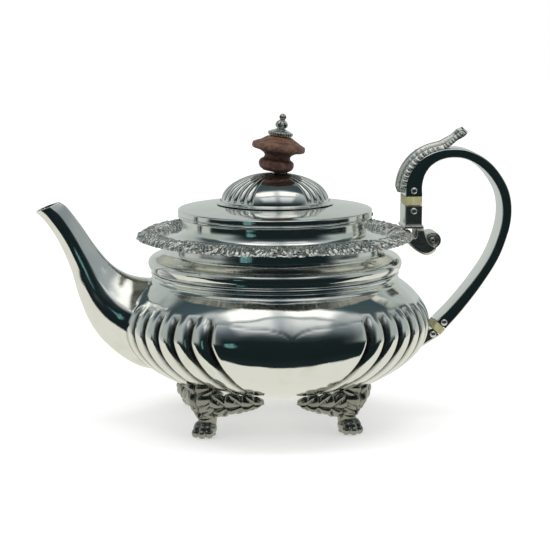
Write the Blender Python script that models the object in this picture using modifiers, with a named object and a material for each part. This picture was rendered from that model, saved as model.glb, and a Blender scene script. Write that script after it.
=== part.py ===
"""A silver teapot with a hinged lid, about 280 mm from spout to handle.

+Z is up, +X points to the handle and -X to the spout. The origin is on the body's axis, on the table.
Dimensions are in millimetres, and MM turns them into metres.
"""

import math

import bmesh
import bpy
from mathutils import Matrix, Vector

MM = 0.001
GAP = 0.3
TURN_STEPS = 40
SMALL_STEPS = 16

# Bowl: a flattened ellipsoid, lobed towards the spout and the handle
BOWL_RADIUS = 90.5
BOWL_HALF_HEIGHT = 43.0
BOWL_CENTRE_Z = 59.0
BOWL_NECK_RADIUS = 71.0
BOWL_TOP_Z = 87.2
BOWL_WALL = 1.0
BOWL_BOTTOM = math.radians(86.0)
HOLLOW_TOP = math.radians(38.0)
HOLLOW_BOTTOM = math.radians(84.0)
RIM_WIDTH = 1.2
LOBE_PITCH = math.radians(8.0)
LOBE_SEGMENTS = 3
LOBE_HEIGHT = 0.5
LOBE_GROOVE = 1.9
LOBE_TOP_Z = 77.0
LOBE_FADE = 6.0
LOBE_INNER_RADIUS = 22.0
PANEL_SPREAD = math.radians(30.0)
PANEL_SWEEP = 0.3
HANDLE_LOBES = 15
SPOUT_LOBES = 6
PANEL_SEGMENTS = 6
ROOT_SEGMENTS = 3
BOWL_ROWS = 10
FIT_OFFSET = 0.95

# Strainer holes through the bowl, behind the spout
STRAINER_RADIUS = 1.6
STRAINER_SPACING = 5.4
STRAINER_Z = 60.0
STRAINER_ROWS = (2, 3, 4, 3, 2)

# Neck, collar and border
RING_Z = 88.6
RING_RADIUS = 72.9
NECK_BASE_Z = 90.0
NECK_TOP_Z = 108.8
NECK_WALL = 1.0
COLLAR_RIM_Z = 120.9
COLLAR_BORE = 53.4
COLLAR_WALL = 1.2
COLLAR_EDGE = 66.2
COLLAR_PLATE_Z = 110.3
BORDER_RADIUS = 81.4
BORDER_WAVE = 0.6
BORDER_WAVES = 18
BORDER_STEPS = 72

# Lid
LID_RADIUS = 57.0
LID_BASE_Z = 121.3
LID_EDGE_Z = 126.5
LID_CROWN_Z = 129.5
BEZEL_RADIUS = 52.8
BEZEL_DEPTH = 5.6
DOME_RADIUS = 31.8
DOME_TOP_Z = 147.2
DOME_BASE_Z = 130.1
DOME_WALL = 1.0
DOME_FLUTE = 1.1
DOME_FLUTES = 24
DOME_BORE = 3.0

# Knob: it leans towards the handle, and a threaded finial clamps it to the dome
KNOB_LEAN = math.radians(8.0)
KNOB_SEAT_Z = 148.2
KNOB_DISC_RADIUS = 15.6
KNOB_BULGE_RADIUS = 10.3
KNOB_WAIST_RADIUS = 7.5
KNOB_HEIGHT = 20.4
KNOB_BORE = 1.9
STUD_RADIUS = 1.4
STUD_DROP = 9.5
FINIAL_RADIUS = 7.2
FINIAL_HEIGHT = 13.2
NUT_ACROSS = 7.0
NUT_HEIGHT = 2.2
NUT_DROP = 6.2

# Lid hinge, let into the lid's rim at the handle side
HINGE_X = 55.2
HINGE_Z = 123.0
KNUCKLE_RADIUS = 1.8
KNUCKLE_BORE = 1.0
HINGE_PIN_RADIUS = 0.7
HINGE_HALF_LENGTH = 8.0
LID_KNUCKLE_HALF = 2.6
NOTCH_TOP_Z = 125.2

# Spout: upper and lower outline (x, z) and half width at each station, from the mouth to the root
SPOUT_STATIONS = (
    ((-125.7, 131.4), (-139.35, 125.9), 5.6),
    ((-121.2, 128.2), (-133.0, 119.0), 6.0),
    ((-113.9, 118.5), (-125.8, 107.1), 7.0),
    ((-105.5, 106.0), (-119.4, 91.2), 9.2),
    ((-96.4, 95.0), (-114.6, 74.0), 13.0),
    ((-88.0, 89.2), (-108.0, 58.6), 17.5),
    ((-80.0, 86.6), (-98.0, 46.0), 21.5),
    ((-72.0, 85.6), (-81.0, 34.2), 24.0),
    ((-62.0, 84.0), (-60.0, 30.0), 25.0),
)
SPOUT_WALL = 1.1
SPOUT_SIDES = 16
SPOUT_CHAMFER = 0.6
SPOUT_RINGS = 12

# Handle: centreline (x, z), thickness and width at each station, from the upper to the lower end
HANDLE_STATIONS = (
    (80.9, 133.4, 10.2, 19.0),
    (81.1, 140.4, 9.8, 19.0),
    (83.4, 147.2, 8.8, 19.0),
    (88.4, 153.2, 7.2, 19.0),
    (95.6, 157.0, 6.0, 19.0),
    (103.8, 158.3, 5.5, 19.2),
    (112.6, 157.2, 5.6, 19.6),
    (121.4, 152.8, 5.8, 20.0),
    (128.9, 145.4, 5.8, 20.4),
    (134.7, 135.2, 5.7, 20.4),
    (136.55, 124.0, 5.6, 20.2),
    (135.0, 112.0, 5.5, 19.8),
    (129.4, 96.6, 5.6, 19.2),
    (119.4, 80.8, 6.0, 18.6),
    (107.8, 66.2, 6.8, 18.0),
    (98.4, 56.1, 7.6, 17.6),
)
HANDLE_RINGS = 28
HANDLE_WALL = 1.0
HANDLE_CORNER = 0.28

# Ivory insulators and their pins
UPPER_IVORY = 5.0
LOWER_IVORY = 4.6
SPIGOT_LENGTH = 5.4
SPIGOT_GAP = 0.7
LOWER_SPIGOT = 2.8
PIN_INSET = 3.2
LOWER_PIN_INSET = 2.2
LOWER_ROOT_X = 82.0
LOWER_ROOT_Z = 46.0
LOWER_ROOT_DEPTH = 12.0
PIN_RADIUS = 0.9
PIN_BORE = 1.25
PIN_HEAD = 1.9

# Upper socket and the scroll under it
SOCKET_FOOT_Z = 114.4
SOCKET_WALL = 1.0
SCROLL_HALF_WIDTH = 6.8
VOLUTE_X = 92.8
VOLUTE_Z = 106.8
VOLUTE_RADIUS = 5.0

# Feet: four cast paws with acanthus leaves under the bowl
FOOT_PLACES = ((-43.0, -41.0), (37.0, -41.0), (37.0, 41.0), (-43.0, 41.0))
PAW_HALF_WIDTH = 7.4
LEAF_SPREAD = math.radians(27.0)
LEAF_DROP = 11.0
FOOT_SIDES = 16

SILVER = ("silver", (0.80, 0.80, 0.77), 0.16, 1.0)
CAST_SILVER = ("cast_silver", (0.66, 0.66, 0.62), 0.28, 1.0)
WOOD = ("fruitwood", (0.22, 0.10, 0.055), 0.55, 0.0)
IVORY = ("ivory", (0.62, 0.60, 0.38), 0.42, 0.0)


def clear_scene():
    for obj in list(bpy.data.objects):
        bpy.data.objects.remove(obj, do_unlink=True)


def new_collection(name):
    collection = bpy.data.collections.new(name)
    bpy.context.scene.collection.children.link(collection)
    return collection


clear_scene()
PARTS = new_collection("teapot")
CUTTERS = new_collection("cutters")
CUTTERS.hide_render = True
MATERIALS = {}


def material_of(finish):
    """One Principled BSDF for each finish: name, colour, roughness, metallic."""
    name, colour, roughness, metallic = finish
    if name not in MATERIALS:
        material = bpy.data.materials.new(name)
        material.use_nodes = True
        shader = material.node_tree.nodes["Principled BSDF"]
        shader.inputs["Base Color"].default_value = (*colour, 1.0)
        shader.inputs["Roughness"].default_value = roughness
        shader.inputs["Metallic"].default_value = metallic
        MATERIALS[name] = material
    return MATERIALS[name]


def add_object(name, mesh, finish):
    """An object in the parts' collection, or a hidden cutter when it has no finish."""
    obj = bpy.data.objects.new(name, mesh)
    if finish:
        mesh.materials.append(material_of(finish))
        PARTS.objects.link(obj)
    else:
        obj.hide_render = True
        obj.display_type = "WIRE"
        CUTTERS.objects.link(obj)
    return obj


def mesh_from(name, bm, sharp_degrees=35.0):
    bmesh.ops.recalc_face_normals(bm, faces=bm.faces)
    mesh = bpy.data.meshes.new(name)
    bm.to_mesh(mesh)
    bm.free()
    mesh.shade_smooth()
    mesh.set_sharp_from_angle(angle=math.radians(sharp_degrees))
    return mesh


def turned(name, profile, finish, steps=TURN_STEPS, closed=True):
    """A profile of (radius, z), run down its outer side, turned about the object's Z axis."""
    mesh = bpy.data.meshes.new(name)
    points = [(radius * MM, 0.0, z * MM) for radius, z in profile]
    edges = [(i, i + 1) for i in range(len(points) - 1)]
    if closed:
        edges.append((len(points) - 1, 0))
    mesh.from_pydata(points, edges, [])
    obj = add_object(name, mesh, finish)
    screw = obj.modifiers.new("turn", "SCREW")
    screw.axis = "Z"
    screw.angle = math.tau
    screw.steps = steps
    screw.render_steps = steps
    screw.use_merge_vertices = True
    screw.merge_threshold = 0.00001
    screw.use_smooth_shade = True
    return obj


def skin(name, rings, finish, wrap=False):
    """A loft through rings of points. It is capped at both ends, or closed on itself when it wraps."""
    bm = bmesh.new()
    loops = [[bm.verts.new(point * MM) for point in ring] for ring in rings]
    count = len(loops)
    for i in range(count if wrap else count - 1):
        near = loops[i]
        far = loops[(i + 1) % count]
        sides = len(near)
        for j in range(sides):
            k = (j + 1) % sides
            bm.faces.new((near[j], near[k], far[k], far[j]))
    if not wrap:
        bm.faces.new(loops[0])
        bm.faces.new(list(reversed(loops[-1])))
    return add_object(name, mesh_from(name, bm), finish)


def block(name, low, high, finish, bevel=0.0):
    """A box from its low to its high corner, with its edges rounded by the bevel's width."""
    bm = bmesh.new()
    bmesh.ops.create_cube(bm, size=1.0)
    size = Vector(high) - Vector(low)
    middle = (Vector(high) + Vector(low)) / 2
    for vertex in bm.verts:
        vertex.co = Vector(c * s + m for c, s, m in zip(vertex.co, size, middle)) * MM
    obj = add_object(name, mesh_from(name, bm), finish)
    if bevel:
        add_bevel(obj, bevel)
    return obj


def add_bevel(obj, width):
    bevel = obj.modifiers.new("edges", "BEVEL")
    bevel.width = width * MM
    bevel.segments = 1
    bevel.limit_method = "ANGLE"


def rod(name, radius, start, end, finish, steps=SMALL_STEPS):
    """A plain cylinder between two points."""
    axis = Vector(end) - Vector(start)
    bm = bmesh.new()
    bmesh.ops.create_cone(
        bm,
        cap_ends=True,
        segments=steps,
        radius1=radius * MM,
        radius2=radius * MM,
        depth=axis.length * MM,
    )
    obj = add_object(name, mesh_from(name, bm), finish)
    obj.rotation_euler = axis.to_track_quat("Z", "Y").to_euler()
    obj.location = (Vector(start) + Vector(end)) / 2 * MM
    return obj


def boolean(obj, other, operation="DIFFERENCE"):
    modifier = obj.modifiers.new(operation.lower(), "BOOLEAN")
    modifier.operation = operation
    modifier.object = other


def blend(points, position):
    """The point at a position along a smooth Catmull-Rom curve through tuples of numbers."""
    last = len(points) - 1
    index = min(int(position), last - 1)
    t = position - index
    before = points[max(index - 1, 0)]
    start = points[index]
    end = points[index + 1]
    after = points[min(index + 2, last)]
    point = []
    for a, b, c, d in zip(before, start, end, after):
        square = 2 * a - 5 * b + 4 * c - d
        cube = 3 * b - a - 3 * c + d
        point.append(0.5 * (2 * b + (c - a) * t + square * t**2 + cube * t**3))
    return tuple(point)


def smooth_step(value):
    value = min(max(value, 0.0), 1.0)
    return value * value * (3 - 2 * value)


def on_bowl(polar, offset=0.0):
    """(radius, z) on the bowl at an angle up from its widest plane, moved outwards by the offset."""
    radius = (BOWL_RADIUS + offset) * math.cos(polar)
    return radius, BOWL_CENTRE_Z + (BOWL_HALF_HEIGHT + offset) * math.sin(polar)


def bowl_underside(radius, offset=0.0):
    """Height of the bowl's underside at a radius."""
    share = min(radius / (BOWL_RADIUS + offset), 1.0)
    return BOWL_CENTRE_Z - (BOWL_HALF_HEIGHT + offset) * math.sqrt(1 - share * share)


def lobe_angles():
    """(azimuth, share of a lobe): the share is 0 in a groove, 1 on a crest and None on plain metal."""
    angles = []
    fan = HANDLE_LOBES * LOBE_PITCH / 2

    def lobes(start, number):
        for i in range(number * LOBE_SEGMENTS):
            share = math.sin(math.pi * (i % LOBE_SEGMENTS) / LOBE_SEGMENTS)
            angles.append((start + i * LOBE_PITCH / LOBE_SEGMENTS, share))

    def plain(start, end, segments):
        angles.append((start, 0.0))
        for i in range(1, segments):
            angles.append((start + (end - start) * i / segments, None))

    side = SPOUT_LOBES * LOBE_PITCH
    lobes(-fan, HANDLE_LOBES)
    plain(fan, math.pi - fan, PANEL_SEGMENTS)
    lobes(math.pi - fan, SPOUT_LOBES)
    plain(math.pi - fan + side, math.pi + fan - side, ROOT_SEGMENTS)
    lobes(math.pi + fan - side, SPOUT_LOBES)
    plain(math.pi + fan, math.tau - fan, PANEL_SEGMENTS)
    return angles


def swept(azimuth, z):
    """Where a lobe's line stands at a height: the plain front and back panels narrow towards the bottom."""
    level = (z - BOWL_CENTRE_Z + BOWL_HALF_HEIGHT) / BOWL_HALF_HEIGHT
    panel = PANEL_SPREAD * min(max(level, 0.02), 1.0) ** PANEL_SWEEP
    quarter = math.pi / 2
    centre = quarter if math.sin(azimuth) >= 0 else -quarter
    offset = math.remainder(azimuth - centre, math.tau)
    side = abs(offset)
    if side < PANEL_SPREAD:
        side *= panel / PANEL_SPREAD
    else:
        side = panel + (side - PANEL_SPREAD) * (quarter - panel) / (quarter - PANEL_SPREAD)
    return centre + math.copysign(side, offset)


def bowl_ring(radius, z):
    """One ring of the bowl's outer skin, with its lobes fading out at the shoulder and near the bottom."""
    depth = smooth_step((LOBE_TOP_Z - z) / LOBE_FADE)
    depth *= smooth_step((radius - LOBE_INNER_RADIUS) / LOBE_INNER_RADIUS)
    ring = []
    for azimuth, share in lobe_angles():
        rise = 0.0
        if share is not None:
            rise = depth * (LOBE_HEIGHT * share - LOBE_GROOVE * (1 - share))
        reach = radius + rise
        azimuth = swept(azimuth, z)
        ring.append(Vector((reach * math.cos(azimuth), reach * math.sin(azimuth), z)))
    return ring


def make_bowl():
    """The lobed bowl, one shell whose lobes show inside too, pierced with a strainer behind the spout."""
    top = math.asin((BOWL_TOP_Z - 3.6 - BOWL_CENTRE_Z) / BOWL_HALF_HEIGHT)
    bottom = -BOWL_BOTTOM
    profile = [(BOWL_NECK_RADIUS, BOWL_TOP_Z), (BOWL_NECK_RADIUS + 0.7, BOWL_TOP_Z - 1.2)]
    profile.append((BOWL_NECK_RADIUS + 2.6, BOWL_TOP_Z - 2.3))
    profile += [on_bowl(top + (bottom - top) * i / BOWL_ROWS) for i in range(BOWL_ROWS + 1)]
    bowl = skin("bowl", [bowl_ring(radius, z) for radius, z in profile], SILVER)
    mouth = BOWL_NECK_RADIUS - RIM_WIDTH
    hollow = [(mouth, BOWL_TOP_Z + 5), (mouth, BOWL_TOP_Z - 2.0)]
    for i in range(BOWL_ROWS):
        polar = HOLLOW_TOP - (HOLLOW_TOP + HOLLOW_BOTTOM) * i / (BOWL_ROWS - 1)
        hollow.append(on_bowl(polar, -BOWL_WALL))
    boolean(bowl, skin("bowl_hollow", [bowl_ring(radius, z) for radius, z in hollow], None))
    for row, count in enumerate(STRAINER_ROWS):
        z = STRAINER_Z + (row - (len(STRAINER_ROWS) - 1) / 2) * STRAINER_SPACING
        for column in range(count):
            y = (column - (count - 1) / 2) * STRAINER_SPACING
            name = f"strainer_hole_{row}_{column}"
            start = (-BOWL_RADIUS - 10, y, z)
            boolean(bowl, rod(name, STRAINER_RADIUS, start, (-BOWL_RADIUS + 15, y, z), None, 8))
    return bowl


def fitting_cutter():
    """The bowl and its neck ring, slightly enlarged: what is soldered to the bowl is cut to this shape."""
    top = math.radians(36.0)
    rows = 24
    profile = [(0.0, NECK_BASE_Z + 20), (RING_RADIUS + 1.6, NECK_BASE_Z + 20)]
    profile += [on_bowl(top + (-math.pi / 2 - top) * i / rows, FIT_OFFSET) for i in range(rows)]
    profile.append((0.0, BOWL_CENTRE_Z - BOWL_HALF_HEIGHT - FIT_OFFSET))
    return turned("bowl_fit", profile, None, steps=96, closed=False)


def make_neck():
    """The ring, the convex neck band, the collar with its upstand, and the cast border."""
    ring_half = 1.1
    inner = BOWL_NECK_RADIUS - RIM_WIDTH
    ring = [(inner, RING_Z + ring_half)]
    for i in range(5):
        angle = math.pi / 2 - math.pi * i / 4
        ring.append((RING_RADIUS - ring_half * (1 - math.cos(angle)), RING_Z + ring_half * math.sin(angle)))
    ring.append((inner, RING_Z - ring_half))
    turned("neck_ring", ring, SILVER)

    rise = ((64.6, 18.8), (65.1, 12.6), (66.2, 10.8), (68.8, 9.5))
    rise += ((72.2, 8.3), (74.2, 6.2), (74.4, 4.4), (73.6, 2.0), (72.0, 0.0))
    outline = [(radius, NECK_BASE_Z + z) for radius, z in rise]
    inside = [(radius - NECK_WALL, z) for radius, z in reversed(outline)]
    turned("neck_band", [*outline, *inside], SILVER)

    outer = COLLAR_BORE + COLLAR_WALL
    base = COLLAR_PLATE_Z
    top = [(outer, COLLAR_RIM_Z), (outer, base + 5.1), (outer + 1.0, base + 2.9), (outer + 3.6, base + 1.1)]
    top += [(outer + 8.2, base + 0.2), (COLLAR_EDGE, base)]
    under = [(COLLAR_EDGE, base - 1.2), (outer + 8.0, base - 1.1), (outer + 3.0, base - 0.1)]
    under += [(outer, base + 1.9), (COLLAR_BORE, base + 4.7), (COLLAR_BORE, COLLAR_RIM_Z)]
    turned("collar", [*top, *under], SILVER)


def make_border():
    """The cast border round the collar, with a scalloped edge."""
    inner = COLLAR_EDGE + GAP
    low = COLLAR_PLATE_Z - 0.9
    section = ((inner, low + 1.0), (inner + 2.4, low + 3.6), (inner + 5.2, low + 5.0))
    section += ((inner + 9.8, low + 4.0), (BORDER_RADIUS, low + 1.3))
    section += ((BORDER_RADIUS - 0.9, low), (inner, low))
    rings = []
    for i in range(BORDER_STEPS):
        azimuth = math.tau * i / BORDER_STEPS
        wave = BORDER_WAVE * math.cos(BORDER_WAVES * azimuth)
        ring = []
        for radius, z in section:
            share = (radius - inner) / (BORDER_RADIUS - inner)
            reach = radius + wave * share
            ring.append(Vector((reach * math.cos(azimuth), reach * math.sin(azimuth), z)))
        rings.append(ring)
    return skin("collar_border", rings, CAST_SILVER, wrap=True)


def make_lid():
    """The lid's plate with its turned-down rim, the bezel inside it, the fluted dome and its moulding."""
    top = [(DOME_RADIUS - 3, LID_CROWN_Z), (DOME_RADIUS + 6, LID_CROWN_Z - 0.6), (46.0, LID_EDGE_Z + 1.4)]
    top += [(54.0, LID_EDGE_Z + 0.3), (56.4, LID_EDGE_Z - 0.3), (LID_RADIUS, LID_EDGE_Z - 1.3)]
    top += [(LID_RADIUS, LID_BASE_Z + 0.8), (LID_RADIUS - 0.8, LID_BASE_Z), (53.7, LID_BASE_Z)]
    under = [(53.7, LID_BASE_Z + 1.0), (55.8, LID_BASE_Z + 1.4), (55.8, LID_EDGE_Z - 1.8)]
    under += [(53.6, LID_EDGE_Z - 0.9), (46.0, LID_EDGE_Z + 0.3)]
    under += [(DOME_RADIUS + 6, LID_CROWN_Z - 1.7), (DOME_RADIUS - 3, LID_CROWN_Z - 1.1)]
    turned("lid_plate", [*top, *under], SILVER)

    bezel_top = LID_EDGE_Z - 1.1
    bezel_bottom = COLLAR_RIM_Z - BEZEL_DEPTH
    wall = 1.0
    bezel = [(BEZEL_RADIUS, bezel_top), (BEZEL_RADIUS, bezel_bottom)]
    bezel += [(BEZEL_RADIUS - wall, bezel_bottom), (BEZEL_RADIUS - wall, bezel_top)]
    turned("lid_bezel", bezel, SILVER)

    base = LID_CROWN_Z + GAP
    moulding = [(DOME_RADIUS + 0.4, base + 1.5), (DOME_RADIUS + 1.0, base + 1.3)]
    moulding += [(DOME_RADIUS + 1.6, base + 0.7), (DOME_RADIUS + 2.7, base + 0.5)]
    moulding += [(DOME_RADIUS + 3.0, base + 0.1), (DOME_RADIUS + 0.4, base)]
    turned("dome_moulding", moulding, SILVER)


def dome_ring(polar, shrink, fluted):
    """One ring of the dome: flutes run up its spout and handle sides and die out towards the knob."""
    radius = (DOME_RADIUS - shrink) * math.cos(polar)
    z = DOME_BASE_Z + (DOME_TOP_Z - DOME_BASE_Z - shrink) * math.sin(polar)
    per_flute = 3
    steps = DOME_FLUTES * per_flute
    ring = []
    for i in range(steps):
        azimuth = math.tau * (i / steps + 0.5 / DOME_FLUTES)
        side = smooth_step((abs(math.cos(azimuth)) - 0.5) / 0.2)
        groove = 1.0 if i % per_flute == 0 else 0.0
        depth = DOME_FLUTE * fluted * side * groove * smooth_step(radius / DOME_RADIUS / 0.8)
        reach = radius - depth
        ring.append(Vector((reach * math.cos(azimuth), reach * math.sin(azimuth), z)))
    return ring


def make_dome():
    """The dome's shell, open at its base and bored at its top for the finial's stud."""
    rows = 6
    top = math.acos(DOME_BORE / DOME_RADIUS)
    fluted = (0.0, 1.0, 1.0, 1.0, 0.9, 0.5, 0.0)
    outer = [dome_ring(top * i / rows, 0.0, fluted[i]) for i in range(rows + 1)]
    inside_wall = DOME_WALL + DOME_FLUTE
    inner_top = math.acos(DOME_BORE / (DOME_RADIUS - inside_wall))
    inner = [dome_ring(inner_top * i / rows, inside_wall, 0.0) for i in range(rows, -1, -2)]
    return skin("lid_dome", [*outer, *inner], SILVER, wrap=True)


def lean(obj, base_z):
    """Stands an object on the dome, leaning towards the handle."""
    pivot = Vector((0.0, 0.0, DOME_TOP_Z))
    along = Matrix.Rotation(KNOB_LEAN, 3, "Y") @ Vector((0.0, 0.0, base_z - DOME_TOP_Z))
    obj.rotation_euler = (0.0, KNOB_LEAN, 0.0)
    obj.location = (pivot + along) * MM


def make_knob():
    """The turned wooden knob, the silver finial with its stud, and the nut inside the dome."""
    bulge = KNOB_BULGE_RADIUS
    disc = KNOB_DISC_RADIUS
    profile = [(KNOB_BORE, KNOB_HEIGHT), (6.6, KNOB_HEIGHT), (8.6, 19.2), (disc - 1.0, 16.0)]
    profile += [(disc, 14.8), (disc - 0.2, 13.0), (disc - 2.2, 12.2), (9.4, 10.8)]
    profile += [(KNOB_WAIST_RADIUS, 9.0), (KNOB_WAIST_RADIUS + 0.5, 7.4), (bulge - 0.3, 5.4)]
    profile += [(bulge, 3.6), (bulge - 0.9, 1.6), (6.8, 0.0), (KNOB_BORE, 0.0)]
    lean(turned("knob", profile, WOOD, steps=24), KNOB_SEAT_Z)

    ring = FINIAL_RADIUS
    tip = FINIAL_HEIGHT
    stud = KNOB_HEIGHT + GAP + STUD_DROP
    profile = [(0.0, tip), (1.5, tip - 0.6), (2.0, tip - 2.2), (1.5, tip - 3.6), (3.0, tip - 5.4)]
    profile += [(3.3, tip - 7.2), (2.2, tip - 8.6), (3.8, 4.2), (ring - 1.4, 3.0), (ring, 2.2)]
    profile += [(ring, 1.0), (ring - 0.8, 0.0), (STUD_RADIUS, 0.0), (STUD_RADIUS, -stud), (0.0, -stud)]
    lean(turned("finial", profile, CAST_SILVER, closed=False, steps=20), KNOB_SEAT_Z + KNOB_HEIGHT + GAP)

    half = NUT_HEIGHT / 2
    nut_bore = STUD_RADIUS + GAP
    corner = NUT_ACROSS / 2
    nut = [(nut_bore, half), (corner, half), (corner, -half), (nut_bore, -half)]
    lean(turned("knob_nut", nut, SILVER, steps=6), DOME_TOP_Z - NUT_DROP)
    washer_top = DOME_TOP_Z - NUT_DROP + half + GAP + 0.9
    washer = [(nut_bore, 0.0), (4.8, 0.0), (4.8, -0.9), (nut_bore, -0.9)]
    lean(turned("knob_washer", washer, SILVER, steps=20), washer_top)


def make_hinge():
    """A three-knuckle hinge in a notch in the lid's rim, its outer knuckles on the collar's upstand."""
    bore_start = (HINGE_X, -HINGE_HALF_LENGTH - 2, HINGE_Z)
    bore_end = (HINGE_X, HINGE_HALF_LENGTH + 2, HINGE_Z)
    bore = rod("hinge_bore", KNUCKLE_BORE, bore_start, bore_end, None, 12)
    middle = LID_KNUCKLE_HALF
    notch_half = HINGE_HALF_LENGTH + 4 * GAP
    notch_low = (LID_RADIUS - 4.0, -notch_half, LID_BASE_Z - 1)
    notch_high = (LID_RADIUS + 1.5, notch_half, NOTCH_TOP_Z)
    boolean(bpy.data.objects["lid_plate"], block("hinge_notch", notch_low, notch_high, None))

    start = (HINGE_X, -middle, HINGE_Z)
    lid_side = rod("hinge_knuckle_lid", KNUCKLE_RADIUS, start, (HINGE_X, middle, HINGE_Z), SILVER)
    tongue_low = (HINGE_X - 1.4, -middle, HINGE_Z)
    tongue = block("tongue", tongue_low, (HINGE_X + 0.6, middle, NOTCH_TOP_Z - GAP), None)
    boolean(lid_side, tongue, "UNION")
    boolean(lid_side, bore)

    inside = COLLAR_BORE + COLLAR_WALL + GAP
    outside = inside + 1.4
    low = (inside, -HINGE_HALF_LENGTH, COLLAR_RIM_Z - 3.0)
    pot_side = block("hinge_leaf_pot", low, (outside, HINGE_HALF_LENGTH, COLLAR_RIM_Z), SILVER)
    for side in (-1, 1):
        y_low, y_high = sorted((side * (middle + GAP), side * HINGE_HALF_LENGTH))
        post_low = (inside + 0.1, y_low, COLLAR_RIM_Z - 1.2)
        post = block(f"hinge_post_{side}", post_low, (outside, y_high, HINGE_Z), None)
        end = (HINGE_X, y_high, HINGE_Z)
        barrel = rod(f"hinge_barrel_{side}", KNUCKLE_RADIUS, (HINGE_X, y_low, HINGE_Z), end, None)
        boolean(pot_side, post, "UNION")
        boolean(pot_side, barrel, "UNION")
    boolean(pot_side, bore)

    overhang = 0.8
    start = (HINGE_X, -HINGE_HALF_LENGTH - overhang, HINGE_Z)
    rod("hinge_pin", HINGE_PIN_RADIUS, start, (HINGE_X, HINGE_HALF_LENGTH + overhang, HINGE_Z), SILVER, 12)


def spout_ring(station, wall):
    """One ring of the spout: round below, with a flat slanting face on each side above its middle."""
    upper_x, upper_z, lower_x, lower_z, half_width = station
    upper = Vector((upper_x, 0.0, upper_z))
    lower = Vector((lower_x, 0.0, lower_z))
    reach = (upper - lower) / 2
    reach *= 1 - wall / reach.length
    ring = []
    for i in range(SPOUT_SIDES):
        angle = math.tau * i / SPOUT_SIDES
        over = math.cos(angle)
        aside = math.sin(angle)
        if over > 0:
            chamfer = max(SPOUT_CHAMFER * over + abs(aside), 1.0)
            over /= chamfer
            aside /= chamfer
        across = Vector((0.0, (half_width - wall) * aside, 0.0))
        ring.append((upper + lower) / 2 + reach * over + across)
    return ring


def make_spout(fit):
    """The swan-necked spout, an open tube cut to the bowl at its root."""
    stations = [(*upper, *lower, width) for upper, lower, width in SPOUT_STATIONS]
    last = len(stations) - 1
    positions = [last * i / (SPOUT_RINGS - 1) for i in range(SPOUT_RINGS)]
    outer = [spout_ring(blend(stations, position), 0.0) for position in positions]
    inner = [spout_ring(blend(stations, position), SPOUT_WALL) for position in reversed(positions)]
    spout = skin("spout", [*outer, *inner], SILVER, wrap=True)
    boolean(spout, fit)
    return spout


def handle_frames():
    """(middle, outward direction, thickness, width) at each ring of the handle."""
    last = len(HANDLE_STATIONS) - 1
    frames = []
    for i in range(HANDLE_RINGS):
        position = last * i / (HANDLE_RINGS - 1)
        x, z, thickness, width = blend(HANDLE_STATIONS, position)
        before = blend(HANDLE_STATIONS, max(position - 0.05, 0.0))
        after = blend(HANDLE_STATIONS, min(position + 0.05, last))
        along = Vector((after[0] - before[0], 0.0, after[1] - before[1])).normalized()
        outward = Vector((-along.z, 0.0, along.x))
        frames.append((Vector((x, 0.0, z)), outward, thickness, width))
    return frames


def strap_ring(middle, outward, thickness, width, corner=HANDLE_CORNER):
    """A flat strap's section with chamfered corners."""
    half_t = thickness / 2
    half_w = width / 2
    cut = corner * half_t
    shape = ((half_t, half_w - cut), (half_t - cut, half_w))
    shape += ((cut - half_t, half_w), (-half_t, half_w - cut))
    shape += tuple((-t, -w) for t, w in shape)
    return [middle + outward * t + Vector((0.0, w, 0.0)) for t, w in shape]


def make_handle():
    """The hollow handle, open at both ends for the insulators' spigots."""
    frames = handle_frames()
    wall = 2 * HANDLE_WALL
    outer = [strap_ring(m, o, t, w) for m, o, t, w in frames]
    inner = [strap_ring(m, o, t - wall, w - wall) for m, o, t, w in reversed(frames)]
    return skin("handle", [*outer, *inner], SILVER, wrap=True)


def make_thumb_leaf():
    """The acanthus leaf laid over the handle's shoulder, its tip rising clear as a thumb rest."""
    frames = handle_frames()[1:9]
    thickness = 2.0
    rings = []
    for i, (middle, outward, strap, _width) in enumerate(frames):
        share = i / (len(frames) - 1)
        body = thickness * (0.7 + 0.6 * math.sin(math.pi * share))
        offset = strap / 2 + GAP + body / 2
        rings.append(strap_ring(middle + outward * offset, outward, body, 18.4 - 4.6 * share))
    tip = ((104.6, 164.9, 3.0, 9.4), (109.2, 168.2, 2.8, 10.2), (112.6, 172.2, 1.4, 6.4))
    for x, z, body, width in tip:
        outward = Vector((-0.62, 0.0, 0.78))
        rings.append(strap_ring(Vector((x, 0.0, z)), outward, body, width))
    return skin("thumb_leaf", rings, CAST_SILVER)


def pin_holes(obj, centres):
    for i, (x, z) in enumerate(centres):
        name = f"{obj.name}_pin_hole_{i}"
        boolean(obj, rod(name, PIN_BORE, (x, -14.0, z), (x, 14.0, z), None, 10))


def make_pin(name, x, z, half_width):
    """A silver pin across the handle, its ends spread into low domed heads."""
    head = PIN_HEAD
    shank = half_width + GAP
    profile = [(0.0, shank + 0.9), (head * 0.7, shank + 0.6), (head, shank), (PIN_RADIUS, shank)]
    profile += [(radius, -y) for radius, y in reversed(profile)]
    pin = turned(name, profile, SILVER, closed=False, steps=10)
    pin.rotation_euler = (math.pi / 2, 0.0, 0.0)
    pin.location = (x * MM, 0.0, z * MM)


def insulator(name, middle, along, thickness, strap, width, spigots):
    """An ivory block across the handle, with a spigot on each side of it."""
    outward = Vector((-along.z, 0.0, along.x))
    wall = 2 * (HANDLE_WALL + SPIGOT_GAP)
    rings = []
    before, after = spigots
    half = thickness / 2
    levels = ((-half - before, False), (-half, False), (-half, True))
    levels += ((half, True), (half, False), (half + after, False))
    for distance, is_block in levels:
        cut = 0.0 if is_block else wall
        rings.append(strap_ring(middle + along * distance, outward, strap - cut, width - cut))
    return skin(name, rings, IVORY)


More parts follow.
